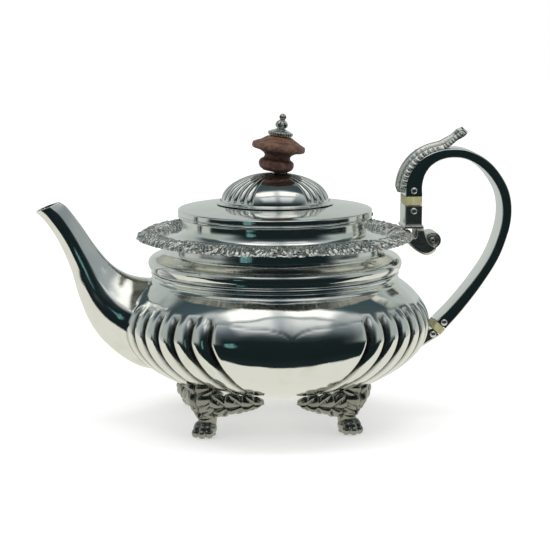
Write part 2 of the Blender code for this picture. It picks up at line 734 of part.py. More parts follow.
def make_upper_joint():
    """The upper insulator, the socket on the collar's border, the scroll beneath it and the two pins."""
    x, top, strap, width = HANDLE_STATIONS[0]
    block_top = top - GAP
    middle = Vector((x, 0.0, block_top - UPPER_IVORY / 2))
    up = Vector((0.0, 0.0, 1.0))
    spigots = (SPIGOT_LENGTH, SPIGOT_LENGTH)
    ivory = insulator("insulator_upper", middle, up, UPPER_IVORY, strap, width, spigots)
    socket_top = block_top - UPPER_IVORY - GAP
    pocket = socket_top - SPIGOT_LENGTH - 1.0
    outward = Vector((-1.0, 0.0, 0.0))

    def ring(z, strap_thickness, strap_width):
        return strap_ring(Vector((x, 0.0, z)), outward, strap_thickness, strap_width)

    foot = SOCKET_FOOT_Z
    rings = [ring(foot, strap + 1.8, width + 2.4), ring(foot + 1.4, strap + 1.8, width + 2.4)]
    rings += [ring(foot + 2.2, strap + 0.4, width + 0.6), ring(socket_top, strap, width)]
    wall = 2 * SOCKET_WALL
    rings += [ring(socket_top, strap - wall, width - wall), ring(pocket, strap - wall, width - wall)]
    socket = skin("socket_upper", rings, CAST_SILVER)
    upper_pin = top + PIN_INSET
    lower_pin = socket_top - PIN_INSET
    pin_holes(bpy.data.objects["handle"], [(x, upper_pin)])
    pin_holes(ivory, [(x, upper_pin), (x, lower_pin)])
    pin_holes(socket, [(x, lower_pin)])
    make_pin("pin_upper_handle", x, upper_pin, width / 2)
    make_pin("pin_upper_socket", x, lower_pin, width / 2)


def make_scroll():
    """The leaf scroll that curls out under the socket: an outline across Y, joined to its volute."""
    top = SOCKET_FOOT_Z - GAP
    outline = ((82.8, top), (87.4, top), (88.6, 110.0), (90.4, 106.6), (95.2, 103.0))
    outline += ((92.6, 98.8), (88.6, 97.8), (83.6, 100.2), (79.4, 104.0), (77.4, 108.4), (82.8, 108.8))
    bm = bmesh.new()
    near = [bm.verts.new(Vector((x, -SCROLL_HALF_WIDTH, z)) * MM) for x, z in outline]
    face = bm.faces.new(near)
    extruded = bmesh.ops.extrude_face_region(bm, geom=[face])["geom"]
    moved = [item for item in extruded if isinstance(item, bmesh.types.BMVert)]
    bmesh.ops.translate(bm, verts=moved, vec=(0.0, 2 * SCROLL_HALF_WIDTH * MM, 0.0))
    scroll = add_object("scroll_bracket", mesh_from("scroll_bracket", bm), CAST_SILVER)
    half = SCROLL_HALF_WIDTH + 1.2
    volute = rod("volute", VOLUTE_RADIUS, (VOLUTE_X, -half, VOLUTE_Z), (VOLUTE_X, half, VOLUTE_Z), None, 20)
    boolean(scroll, volute, "UNION")
    return scroll


def make_lower_joint(fit):
    """The lower insulator, the socket soldered to the bowl and the two pins."""
    frames = handle_frames()
    end, outward, strap, width = frames[-1]
    along = Vector((outward.z, 0.0, -outward.x))
    middle = end + along * (GAP + LOWER_IVORY / 2)
    spigots = (LOWER_SPIGOT, LOWER_SPIGOT)
    ivory = insulator("insulator_lower", middle, along, LOWER_IVORY, strap, width, spigots)
    start = middle + along * (LOWER_IVORY / 2 + GAP)
    wall = 2 * SOCKET_WALL
    root = Vector((LOWER_ROOT_X, 0.0, LOWER_ROOT_Z))
    down = Vector((0.0, 0.0, -1.0))
    rings = [strap_ring(start, outward, strap, width)]
    rings.append(strap_ring(root, down, LOWER_ROOT_DEPTH, width))
    rings.append(strap_ring(root, down, LOWER_ROOT_DEPTH - wall, width - wall))
    rings.append(strap_ring(start, outward, strap - wall, width - wall))
    socket = skin("socket_lower", rings, CAST_SILVER, wrap=True)
    boolean(socket, fit)
    handle_pin = end - along * LOWER_PIN_INSET
    socket_pin = start + along * LOWER_PIN_INSET
    pin_holes(bpy.data.objects["handle"], [(handle_pin.x, handle_pin.z)])
    pin_holes(ivory, [(handle_pin.x, handle_pin.z), (socket_pin.x, socket_pin.z)])
    pin_holes(socket, [(socket_pin.x, socket_pin.z)])
    make_pin("pin_lower_handle", handle_pin.x, handle_pin.z, width / 2)
    make_pin("pin_lower_socket", socket_pin.x, socket_pin.z, width / 2)


def paw_ring(height, reach, half_width, shift, toes):
    """One level of the paw: an oval with four toes round its front."""
    ring = []
    for i in range(FOOT_SIDES):
        angle = math.tau * i / FOOT_SIDES
        front = max(math.cos(angle), 0.0)
        bump = toes * front * (0.5 - 0.5 * math.cos(angle * 8.0))
        radius_x = reach + bump
        x = shift + radius_x * math.cos(angle)
        ring.append(Vector((x, (half_width + 0.5 * bump) * math.sin(angle), height)))
    return ring


def leaf_grid(name, ring_radius):
    """The acanthus leaf spread under the bowl on both sides of the leg, as a thin curved plate."""
    columns = 8
    rows = 3
    bm = bmesh.new()
    layers = []
    for offset_share in (0.0, 1.0):
        layer = []
        for i in range(columns + 1):
            across = 2.0 * i / columns - 1.0
            azimuth = LEAF_SPREAD * across
            half_length = 13.0 * math.sqrt(max(1.0 - across**2, 0.0)) + 2.5
            centre = ring_radius - 2.0 - 7.0 * across**2
            line = []
            for j in range(rows + 1):
                along = 2.0 * j / rows - 1.0
                radius = centre + half_length * along
                drop = LEAF_DROP * (1.0 - abs(across)) ** 1.4 * (1.0 - 0.8 * along**2)
                offset = FIT_OFFSET - 0.2 + offset_share * (1.2 + drop)
                z = bowl_underside(radius) - offset
                x = radius * math.cos(azimuth) - ring_radius
                line.append(bm.verts.new(Vector((x, radius * math.sin(azimuth), z)) * MM))
            layer.append(line)
        layers.append(layer)
    for layer in layers:
        for i in range(columns):
            for j in range(rows):
                bm.faces.new((layer[i][j], layer[i + 1][j], layer[i + 1][j + 1], layer[i][j + 1]))
    border = [(i, 0) for i in range(columns)] + [(columns, j) for j in range(rows)]
    border += [(i, rows) for i in range(columns, 0, -1)] + [(0, j) for j in range(rows, 0, -1)]
    top, under = layers
    for (a, b), (c, d) in zip(border, border[1:] + border[:1]):
        bm.faces.new((top[a][b], top[c][d], under[c][d], under[a][b]))
    return mesh_from(name, bm)


def make_feet(fit):
    """Four paw feet, each cast in one with its leg and leaf and cut to the bowl's underside."""
    wide = PAW_HALF_WIDTH
    levels = ((0.0, 6.2, 6.4, 2.2, 1.4), (1.6, 7.2, wide, 2.4, 1.8), (5.0, 7.4, wide, 2.0, 1.8))
    levels += ((8.6, 6.4, 6.6, 0.8, 1.0), (11.4, 5.0, 5.8, -0.4, 0.0), (14.4, 5.0, 6.2, -0.6, 0.0))
    levels += ((18.4, 6.2, 8.0, 0.0, 0.0), (22.4, 8.2, 10.4, 0.6, 0.0), (31.0, 10.0, 12.0, 1.0, 0.0))
    rings = [paw_ring(*level) for level in levels]
    for number, (x, y) in enumerate(FOOT_PLACES, start=1):
        foot = skin(f"foot_{number}", rings, CAST_SILVER)
        leaf = add_object(f"foot_leaf_{number}", leaf_grid(f"foot_leaf_{number}", math.hypot(x, y)), None)
        for obj in (foot, leaf):
            obj.rotation_euler = (0.0, 0.0, math.atan2(y, x))
            obj.location = Vector((x, y, 0.0)) * MM
        boolean(foot, leaf, "UNION")
        boolean(foot, fit)


def build():
    fit = fitting_cutter()
    make_bowl()
    make_neck()
    make_border()
    make_spout(fit)
    make_handle()
    make_thumb_leaf()
    make_upper_joint()
    make_scroll()
    make_lower_joint(fit)
    make_feet(fit)
    make_lid()
    make_dome()
    make_knob()
    make_hinge()


build()
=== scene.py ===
"""The looks of a silver teapot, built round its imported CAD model.

Shapes are written in millimetres, and MM turns them into metres.
+X points to the handle and -X to the spout.
"""

import itertools
import math

import bpy
import numpy as np
from mathutils import Matrix, Vector


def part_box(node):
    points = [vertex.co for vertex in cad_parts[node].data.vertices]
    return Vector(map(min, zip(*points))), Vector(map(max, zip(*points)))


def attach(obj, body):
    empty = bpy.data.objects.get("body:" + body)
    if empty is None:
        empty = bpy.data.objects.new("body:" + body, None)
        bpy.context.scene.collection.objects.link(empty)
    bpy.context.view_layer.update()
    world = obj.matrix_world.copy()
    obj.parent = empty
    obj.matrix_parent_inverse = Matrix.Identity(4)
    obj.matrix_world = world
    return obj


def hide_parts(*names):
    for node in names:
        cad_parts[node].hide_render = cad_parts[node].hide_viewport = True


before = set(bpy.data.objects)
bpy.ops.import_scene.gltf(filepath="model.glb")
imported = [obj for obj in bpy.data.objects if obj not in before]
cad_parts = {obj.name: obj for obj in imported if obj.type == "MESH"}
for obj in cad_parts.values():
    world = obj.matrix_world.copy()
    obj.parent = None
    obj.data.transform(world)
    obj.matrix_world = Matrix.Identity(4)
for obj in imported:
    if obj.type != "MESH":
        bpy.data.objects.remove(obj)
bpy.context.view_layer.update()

MM = 0.001
GAP = 0.3  # between pieces of one body
SHARP = math.radians(38.0)


def extent(node):
    """A node's lowest and highest corner, in millimetres."""
    low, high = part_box(node)
    return np.array(low) / MM, np.array(high) / MM


# ---------------------------------------------------------------- camera


def make_camera():
    """A long lens a little above the table, turned a little from square on."""
    yaw = math.radians(6.0)
    rise = math.radians(9.2)
    distance = 1.2
    target = Vector((0.0, 0.0, 0.0865))
    back = Vector((-math.sin(yaw) * math.cos(rise), -math.cos(yaw) * math.cos(rise), math.sin(rise)))
    data = bpy.data.cameras.new("camera")
    data.sensor_width = 36.0
    data.lens = 133.13
    data.clip_start = 0.05
    data.clip_end = 50.0
    camera = bpy.data.objects.new("camera", data)
    camera.location = target + back * distance
    camera.rotation_euler = back.to_track_quat("Z", "Y").to_euler()
    bpy.context.scene.collection.objects.link(camera)
    bpy.context.scene.camera = camera


make_camera()


# ---------------------------------------------------------------- node helpers


def new_material(name):
    """A new material, its node tree and its shader."""
    material = bpy.data.materials.new(name)
    material.use_nodes = True
    tree = material.node_tree
    return material, tree, tree.nodes["Principled BSDF"]


def node(tree, kind, settings=None, **inputs):
    """A node with its settings, and its inputs by name: a socket is linked and anything else is a value."""
    made = tree.nodes.new(kind)
    for key, value in (settings or {}).items():
        setattr(made, key, value)
    for key, value in inputs.items():
        socket = made.inputs[int(key[1:])] if key[0] == "_" else made.inputs[key.replace("_", " ")]
        if isinstance(value, bpy.types.NodeSocket):
            tree.links.new(value, socket)
        else:
            socket.default_value = value
    return made


def math_node(tree, operation, first, second=0.0, clamp=False):
    made = node(tree, "ShaderNodeMath", {"operation": operation, "use_clamp": clamp}, _0=first, _1=second)
    return made.outputs[0]


def noise_node(tree, where, scale, detail=3.0, roughness=0.5):
    settings = {"Vector": where, "Scale": scale, "Detail": detail, "Roughness": roughness}
    return node(tree, "ShaderNodeTexNoise", **settings).outputs["Fac"]


def span(tree, value, low, high, start=0.0, end=1.0):
    """Maps value from low..high to start..end, clamped and eased."""
    made = node(tree, "ShaderNodeMapRange", {"interpolation_type": "SMOOTHSTEP"}, Value=value)
    for key, number in (("From Min", low), ("From Max", high), ("To Min", start), ("To Max", end)):
        made.inputs[key].default_value = number
    return made.outputs["Result"]


def mix_colour(tree, factor, first, second):
    made = node(tree, "ShaderNodeMix", {"data_type": "RGBA"})
    for socket, value in ((made.inputs[0], factor), (made.inputs[6], first), (made.inputs[7], second)):
        if isinstance(value, bpy.types.NodeSocket):
            tree.links.new(value, socket)
        else:
            socket.default_value = value
    return made.outputs[2]


def stretched(tree, scale):
    """Object coordinates scaled along each axis."""
    where = node(tree, "ShaderNodeTexCoord").outputs["Object"]
    return node(tree, "ShaderNodeMapping", None, Vector=where, Scale=scale).outputs["Vector"]


def bump_node(tree, height, strength, distance, normal=None):
    made = node(tree, "ShaderNodeBump", None, Height=height, Strength=strength, Distance=distance)
    if normal is not None:
        tree.links.new(normal, made.inputs["Normal"])
    return made.outputs["Normal"]


# ---------------------------------------------------------------- materials


def silver_material(name, clean, tarnish, tarnish_and_shade_colour, roughness, dents):
    """Worn silver: warm patches of tarnish, hollows darkened by tarnish and painted shade, hairline
    scratches, small pits and soft dents.
    """
    material, tree, shader = new_material(name)
    where = stretched(tree, (1.0, 1.0, 1.0))
    patches = span(tree, noise_node(tree, where, 26.0, 4.0, 0.6), 0.42, 0.72)
    cloud = span(tree, noise_node(tree, where, 90.0, 3.0, 0.55), 0.35, 0.75)
    # The 'recess' numbers darken hollows towards a near-black, which is tarnish plus painted shade where the
    # hollows would fall in shadow; noise makes it uneven.
    recess = node(tree, "ShaderNodeAttribute", {"attribute_name": "recess"}).outputs["Fac"]
    dirt = span(tree, noise_node(tree, where, 420.0, 3.0), 0.1, 0.6, 0.7, 1.0)
    tarnish_and_shade = math_node(tree, "MULTIPLY", recess, dirt)
    film = math_node(tree, "MULTIPLY", patches, cloud)
    colour = mix_colour(tree, math_node(tree, "MULTIPLY", film, 0.55), clean, tarnish)
    colour = mix_colour(tree, tarnish_and_shade, colour, tarnish_and_shade_colour)
    pits = node(tree, "ShaderNodeTexVoronoi", None, Vector=where, Scale=150.0).outputs["Distance"]
    pits = span(tree, pits, 0.035, 0.075, 1.0, 0.0)
    rare = span(tree, noise_node(tree, where, 37.0, 0.0), 0.62, 0.66)
    pits = math_node(tree, "MULTIPLY", pits, rare)
    colour = mix_colour(tree, math_node(tree, "MULTIPLY", pits, 0.8), colour, (0.05, 0.05, 0.05, 1.0))
    tree.links.new(colour, shader.inputs["Base Color"])
    shader.inputs["Metallic"].default_value = 1.0
    rough = math_node(tree, "MULTIPLY_ADD", film, 0.10)
    rough.node.inputs[2].default_value = roughness
    rough = math_node(tree, "ADD", rough, math_node(tree, "MULTIPLY", tarnish_and_shade, 0.30))
    streaks = noise_node(tree, stretched(tree, (30.0, 30.0, 420.0)), 3.0, 4.0, 0.65)
    rough = math_node(tree, "ADD", rough, span(tree, streaks, 0.4, 0.8, 0.0, 0.06))
    tree.links.new(rough, shader.inputs["Roughness"])
    soft = noise_node(tree, where, 55.0, 1.0, 0.4)
    normal = bump_node(tree, soft, dents, 0.004)
    scratches = noise_node(tree, stretched(tree, (60.0, 900.0, 900.0)), 2.0, 5.0, 0.7)
    normal = bump_node(tree, scratches, 0.03, 0.0006, normal)
    normal = bump_node(tree, math_node(tree, "MULTIPLY", pits, -1.0), 0.25, 0.0004, normal)
    tree.links.new(normal, shader.inputs["Normal"])
    return material


def wood_material():
    """Dry turned wood: fine rings and pores, dark below and worn pale on its upper edges."""
    material, tree, shader = new_material("fruitwood")
    where = node(tree, "ShaderNodeTexCoord").outputs["Object"]
    grain = noise_node(tree, stretched(tree, (70.0, 260.0, 120.0)), 3.0, 6.0, 0.62)
    pores = noise_node(tree, stretched(tree, (300.0, 1500.0, 1500.0)), 1.2, 3.0, 0.7)
    wear = node(tree, "ShaderNodeAttribute", {"attribute_name": "wear"}).outputs["Fac"]
    dark = (0.020, 0.008, 0.005, 1.0), (0.070, 0.027, 0.015, 1.0)
    pale = (0.080, 0.034, 0.019, 1.0), (0.205, 0.105, 0.064, 1.0)
    colour = mix_colour(tree, span(tree, grain, 0.3, 0.72), *dark)
    worn = mix_colour(tree, span(tree, grain, 0.3, 0.7), *pale)
    blotch = span(tree, noise_node(tree, where, 210.0, 3.0), 0.3, 0.65, 0.55, 1.0)
    colour = mix_colour(tree, math_node(tree, "MULTIPLY", wear, blotch), colour, worn)
    colour = mix_colour(tree, span(tree, pores, 0.55, 0.75, 0.0, 0.6), colour, (0.02, 0.008, 0.005, 1.0))
    tree.links.new(colour, shader.inputs["Base Color"])
    rough = span(tree, grain, 0.2, 0.8, 0.62, 0.42)
    tree.links.new(rough, shader.inputs["Roughness"])
    normal = bump_node(tree, grain, 0.35, 0.0006)
    normal = bump_node(tree, pores, 0.3, 0.0003, normal)
    tree.links.new(normal, shader.inputs["Normal"])
    return material


def ivory_material():
    """Aged ivory: yellowed, with fine straight grain and darker cracks that have taken up dirt."""
    material, tree, shader = new_material("ivory")
    grain = noise_node(tree, stretched(tree, (500.0, 420.0, 60.0)), 1.0, 4.0, 0.6)
    cracks = noise_node(tree, stretched(tree, (900.0, 260.0, 25.0)), 1.0, 2.0, 0.4)
    where = node(tree, "ShaderNodeTexCoord").outputs["Object"]
    blotch = noise_node(tree, where, 190.0, 3.0)
    colour = mix_colour(tree, span(tree, grain, 0.3, 0.7), (0.36, 0.34, 0.16, 1.0), (0.50, 0.48, 0.28, 1.0))
    colour = mix_colour(tree, span(tree, blotch, 0.5, 0.75, 0.0, 0.5), colour, (0.25, 0.215, 0.09, 1.0))
    colour = mix_colour(tree, span(tree, cracks, 0.62, 0.70, 0.0, 0.75), colour, (0.12, 0.10, 0.04, 1.0))
    tree.links.new(colour, shader.inputs["Base Color"])
    tree.links.new(span(tree, grain, 0.2, 0.8, 0.46, 0.32), shader.inputs["Roughness"])
    shader.inputs["Subsurface Weight"].default_value = 0.12
    shader.inputs["Subsurface Radius"].default_value = (0.003, 0.002, 0.001)
    tree.links.new(bump_node(tree, grain, 0.2, 0.0004), shader.inputs["Normal"])
    return material


# Each set: clean silver, tarnish, and the near-black of tarnish and painted shade in the hollows.
SILVER_COLOURS = (0.86, 0.87, 0.85, 1), (0.70, 0.68, 0.58, 1), (0.06, 0.06, 0.052, 1)
CAST_COLOURS = (0.76, 0.76, 0.72, 1), (0.50, 0.48, 0.40, 1), (0.030, 0.029, 0.024, 1)
# The feet's silver is darker all over: partly oxide, partly painted shade for their place in shadow under
# the bowl.
OXIDISED_SHADED_COLOURS = (0.33, 0.33, 0.30, 1), (0.17, 0.165, 0.13, 1), (0.010, 0.010, 0.008, 1)
SILVER = silver_material("silver", *SILVER_COLOURS, 0.045, 0.14)
CAST = silver_material("cast_silver", *CAST_COLOURS, 0.19, 0.1)
OXIDISED_SHADED = silver_material("oxidised_shaded_silver", *OXIDISED_SHADED_COLOURS, 0.17, 0.1)
WOOD = wood_material()
IVORY = ivory_material()


# ---------------------------------------------------------------- mesh helpers


def ease(value):
    """0 to 1 with a soft start and end."""
    value = np.clip(value, 0.0, 1.0)
    return value * value * (3.0 - 2.0 * value)


def circled(radius, angle, z):
    """Points at a radius and an angle about Z, at a height."""
    radius, angle, z = np.broadcast_arrays(radius, angle, z)
    return np.stack([radius * np.cos(angle), radius * np.sin(angle), z], -1)


def full_turn(steps):
    """Angles that share out one turn."""
    return math.tau * np.arange(steps) / steps


def directions(line):
    """The unit direction along a line at each of its points."""
    steps = np.gradient(line, axis=0)
    return steps / np.linalg.norm(steps, axis=1, keepdims=True)


def spline(points, per):
    """A smooth curve through rows of numbers. A row that is repeated makes a corner."""
    points = [np.array(p, float) for p in points]
    runs = [[points[0]]]
    for before, point in zip(points, points[1:]):
        if np.allclose(before, point):
            runs.append([point])
        else:
            runs[-1].append(point)
    out = []
    for run in runs:
        for i in range(len(run) - 1):
            b, c = run[i], run[i + 1]
            a = run[i - 1] if i else 2 * b - c
            d = run[i + 2] if i + 2 < len(run) else 2 * c - b
            square, cube = 2 * a - 5 * b + 4 * c - d, 3 * b - a - 3 * c + d
            for t in np.arange(per) / per:
                out.append(0.5 * (2 * b + (c - a) * t + square * t**2 + cube * t**3))
    out.append(points[-1])
    return np.array(out)


def add_object(name, vertices, faces, material, values=None, attribute="recess"):
    """A smooth-shaded object from vertices in millimetres, with a number at each that its material reads."""
    mesh = bpy.data.meshes.new(name)
    mesh.from_pydata((np.asarray(vertices) * MM).tolist(), [], faces)
    if values is not None:
        numbers = np.asarray(values, np.float32).ravel()
        mesh.attributes.new(attribute, "FLOAT", "POINT").data.foreach_set("value", numbers)
    mesh.materials.append(material)
    mesh.shade_smooth()
    mesh.set_sharp_from_angle(angle=SHARP)
    obj = bpy.data.objects.new(name, mesh)
    bpy.context.scene.collection.objects.link(obj)
    return obj


def grid_faces(rows, sides, loop):
    """Quads over a grid of rings, with end caps or closed on itself."""
    index = np.arange(rows * sides).reshape(rows, sides)
    if loop:
        index = np.vstack([index, index[:1]])
    near, far = index[:-1], index[1:]
    quads = np.stack([near, np.roll(near, -1, 1), np.roll(far, -1, 1), far], -1).reshape(-1, 4).tolist()
    if not loop:
        quads.append(index[0][::-1].tolist())
        quads.append(index[-1].tolist())
    return quads


def outward(vertices, faces):
    """The faces of a closed skin, turned so that they look outwards."""
    a, b, c, d = vertices[np.array([f for f in faces if len(f) == 4])].transpose(1, 0, 2)
    volume = np.einsum("ij,ij->i", a, np.cross(b, c) + np.cross(c, d)).sum()
    return faces if volume > 0 else [f[::-1] for f in faces]


def surface(name, rings, material, values=None, loop=False, attribute="recess"):
    """A closed skin over rings of points."""
    rows, sides = rings.shape[:2]
    vertices = rings.reshape(-1, 3)
    faces = outward(vertices, grid_faces(rows, sides, loop))
    return add_object(name, vertices, faces, material, values, attribute)


def carve(obj, low, high):
    """Cuts a box-shaped notch out of a closed piece."""
    box = np.array(list(itertools.product(*zip(low, high))))
    faces = [(0, 1, 3, 2), (4, 6, 7, 5), (0, 4, 5, 1), (2, 3, 7, 6), (0, 2, 6, 4), (1, 5, 7, 3)]
    cutter = add_object("cutter", box, faces, obj.data.materials[0])
    cut = obj.modifiers.new("notch", "BOOLEAN")
    cut.operation = "DIFFERENCE"
    cut.object = cutter
    bake(obj)
    bpy.data.objects.remove(cutter, do_unlink=True)


def bake(obj):
    """Replaces an object's mesh by the mesh that its modifiers make."""
    depsgraph = bpy.context.evaluated_depsgraph_get()
    mesh = bpy.data.meshes.new_from_object(obj.evaluated_get(depsgraph))
    obj.modifiers.clear()
    obj.data = mesh


def fuse(name, parts, voxel, material):
    """One closed skin round overlapping solids, remeshed from voxels and softened."""
    vertices, faces, offset = [], [], 0
    for rings in parts:
        rows, sides = rings.shape[:2]
        flat = rings.reshape(-1, 3)
        vertices.append(flat)
        own = outward(flat - flat.mean(0), grid_faces(rows, sides, False))
        faces += [[i + offset for i in face] for face in own]
        offset += len(flat)
    obj = add_object(name, np.vstack(vertices), faces, material)
    remesh = obj.modifiers.new("fuse", "REMESH")
    remesh.mode = "VOXEL"
    remesh.voxel_size = voxel * MM
    remesh.use_smooth_shade = True
    smooth = obj.modifiers.new("soften", "SMOOTH")
    smooth.factor = 0.5
    smooth.iterations = 2
    bake(obj)
    obj.data.materials.clear()
    obj.data.materials.append(material)
    return obj


def read_rows(items, attribute, width, kind=np.float32):
    """An attribute of mesh items as rows of numbers."""
    numbers = np.zeros(len(items) * width, kind)
    items.foreach_get(attribute, numbers)
    return numbers.reshape(-1, width)


def mark_recesses(mesh, depth):
    """Writes 'recess' where the surface is hollow: where a vertex lies under its neighbourhood's mean, to be
    shown as tarnish and painted shade.
    """
    place = read_rows(mesh.vertices, "co", 3) / MM
    normal = read_rows(mesh.vertex_normals, "vector", 3)
    edge = read_rows(mesh.edges, "vertices", 2, np.int32)
    degree = np.bincount(edge.ravel(), minlength=len(place)).astype(float)
    mean = place.copy()
    for _ in range(5):
        total = np.zeros_like(mean)
        np.add.at(total, edge[:, 0], mean[edge[:, 1]])
        np.add.at(total, edge[:, 1], mean[edge[:, 0]])
        mean = total / np.maximum(degree, 1)[:, None]
    hollow = np.einsum("ij,ij->i", mean - place, normal)
    value = np.clip(hollow / depth, 0.0, 1.0).astype(np.float32)
    mesh.attributes.new("recess", "FLOAT", "POINT").data.foreach_set("value", value)


def piece(obj, body, *nodes):
    """Puts a finished piece on its body in place of CAD nodes."""
    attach(obj, body)
    if nodes:
        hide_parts(*nodes)
    return obj


def ripple(points, amount, wavelength, seed):
    """Soft irregular dents: a few crossing waves, as a height for each point."""
    rng = np.random.default_rng(seed)
    height = np.zeros(points.shape[:-1])
    for _ in range(9):
        direction = rng.normal(size=3)
        direction *= math.tau / (wavelength * rng.uniform(0.7, 1.6)) / np.linalg.norm(direction)
        height += np.sin(points @ direction + rng.uniform(0, math.tau))
    return amount * height / 3.0


def revolve(profile, steps):
    """Rings of a (radius, z) outline turned about Z, and the angles of their points."""
    angle = full_turn(steps)
    return circled(profile[:, :1], angle, profile[:, 1:]), angle


def turned(name, profile, material, steps=256, dent=0.03, wavelength=24.0, seed=1):
    """A closed outline of (radius, z) turned about Z, with soft dents."""
    rings, angle = revolve(np.asarray(profile), steps)
    push = ripple(rings, dent, wavelength, seed)
    rings[..., 0] += push * np.cos(angle)
    rings[..., 1] += push * np.sin(angle)
    rings[..., 2] += 0.4 * push
    return surface(name, rings, material, loop=True)


# ---------------------------------------------------------------- bowl

bowl_low, bowl_high = extent("bowl")
BOWL_TOP = bowl_high[2]
BOWL_HALF_HEIGHT = 43.0
BOWL_CENTRE = bowl_low[2] + BOWL_HALF_HEIGHT
BOWL_RADIUS = 90.5
BOWL_WALL = 1.0
NECK_RADIUS = 71.0
LOBE_PITCH = 8.0
LOBE_TOP = 74.6
LOBE_DEPTH = 1.9
LOBE_HEIGHT = 0.5
HANDLE_LOBES_END = 60.0
SPOUT_LOBES_START = 120.0
SPOUT_LOBES_END = 168.0
PANEL = 30.0  # half of a plain front or back panel at the widest plane, in degrees


def on_bowl(polar, offset=0.0):
    """(radius, z) on the bowl's ellipsoid at an angle up from its widest plane."""
    radius = (BOWL_RADIUS + offset) * np.cos(polar)
    return radius, BOWL_CENTRE + (BOWL_HALF_HEIGHT + offset) * np.sin(polar)


def from_handle(angle):
    """Degrees round from the handle's side, 0 to 180."""
    return np.abs((np.degrees(angle) + 180.0) % 360.0 - 180.0)


def swept(angle, z):
    """Where a lobe's line stands at a height: the plain front and back panels narrow towards the bottom."""
    panel = PANEL * np.clip((z - BOWL_CENTRE) / BOWL_HALF_HEIGHT + 0.97, 0.003, 1.0) ** 0.3
    centre = np.where(np.sin(angle) >= 0, 90.0, -90.0)
    offset = (np.degrees(angle) - centre + 180.0) % 360.0 - 180.0
    side = np.abs(offset)
    beside = panel + (side - PANEL) * (90.0 - panel) / (90.0 - PANEL)
    side = np.where(side < PANEL, side * panel / PANEL, beside)
    return np.radians(centre + np.sign(offset) * side)


def lobe_relief(angle, radius, z):
    """How far the lobed skin stands off the plain bowl, and how deep in a groove each point is, which the
    silver shows as tarnish and painted shade.
    """
    side = from_handle(angle)
    handle_side = side <= HANDLE_LOBES_END
    lobed = handle_side | ((side >= SPOUT_LOBES_START) & (side <= SPOUT_LOBES_END))
    across = np.where(handle_side, side + LOBE_PITCH / 2, side - SPOUT_LOBES_START) % LOBE_PITCH
    across = (2.0 * across / LOBE_PITCH - 1.0) / 0.93
    half = np.maximum(math.radians(LOBE_PITCH) * radius / 2.0, 1.0)
    below = (LOBE_TOP - z) * 1.12
    arch = np.maximum((half - below) / half, 0.0)
    reach = np.sqrt(across**2 + arch**2)
    bulge = np.clip(1.0 - np.clip(reach, 0.0, 1.0) ** 2.2, 0.0, 1.0) ** 0.56
    trench = ease((below + 0.5) / (0.9 * half))
    fade = ease((radius - 10.0) / 20.0)
    relief = fade * ((LOBE_HEIGHT + LOBE_DEPTH * trench) * bulge - LOBE_DEPTH * trench)
    # Painted shade with tarnish: each groove between the lobes darkens in a gradient.
    recess = fade * trench * np.clip(1.5 - 1.8 * bulge, 0.0, 1.0)
    ends = HANDLE_LOBES_END, SPOUT_LOBES_START, SPOUT_LOBES_END
    border = np.min([np.abs(side - end) for end in ends], axis=0)
    # Painted shade with tarnish: a dark line where each plain panel meets the lobes.
    bank = np.clip(1.0 - border / 2.2, 0.0, 1.0) ** 1.3 * trench * fade
    relief = np.where(lobed, relief, -LOBE_DEPTH * bank)
    recess = np.where(lobed, recess, bank)
    return relief, recess


def chased_line(angle, z):
    """A shallow bracket line chased across the top of the plain front and back panels."""
    side = np.abs(from_handle(angle) - 90.0)
    arc = 62.5 + 8.0 * np.sqrt(np.clip(1.0 - (1.0 - np.clip(side / 13.0, 0.0, 1.0)) ** 2, 0.0, 1.0))
    arc += 1.6 * ease((side - 13.0) / 14.0)
    return np.exp(-(((z - arc) / 0.5) ** 2)) * (side < 28.5)


def make_bowl():
    """The bowl's shell: lobed outside and inside, with a rolled rim under the neck ring."""
    angle = full_turn(720)
    shoulder = [(NECK_RADIUS, BOWL_TOP), (71.5, BOWL_TOP - 1.1), (73.2, BOWL_TOP - 2.3)]
    shoulder = spline(shoulder + [on_bowl(math.radians(35.0))], 5)
    outer = np.stack(on_bowl(np.radians(np.linspace(34.0, -89.5, 92))), -1)
    inner = np.stack(on_bowl(np.radians(np.linspace(-89.3, 37.0, 34)), -BOWL_WALL), -1)
    lip = np.array([(NECK_RADIUS - 1.2, BOWL_TOP - 2.4), (NECK_RADIUS - 1.2, BOWL_TOP - 0.3)])
    profile = np.vstack([shoulder, outer, inner, lip])
    radius = profile[:, :1] * np.ones(len(angle))
    z = profile[:, 1:] * np.ones(len(angle))
    relief, recess = lobe_relief(angle, radius, z)
    count = len(shoulder) + len(outer)
    line = chased_line(angle, z)[:count]
    relief[:count] -= 0.16 * line
    # The chased line is darkened too: tarnish and painted shade in its groove.
    recess[:count] += 0.5 * line
    plain = circled(radius, angle, z)
    dents = ripple(plain, 0.10, 26.0, 5) + ripple(plain, 0.03, 9.0, 6)
    relief = relief + dents * ease((BOWL_TOP - z) / 6.0)
    flatness = (BOWL_HALF_HEIGHT / BOWL_RADIUS) ** 2
    tilt = np.arctan2(profile[:, 1:] - BOWL_CENTRE, profile[:, :1] * flatness)
    radius = radius + relief * np.cos(tilt)
    turn = swept(angle, z)
    rings = circled(radius, turn, z + relief * np.sin(tilt))
    piece(surface("bowl_shell", rings, SILVER, recess, loop=True), "pot", "bowl")


make_bowl()


# ---------------------------------------------------------------- neck, collar and border


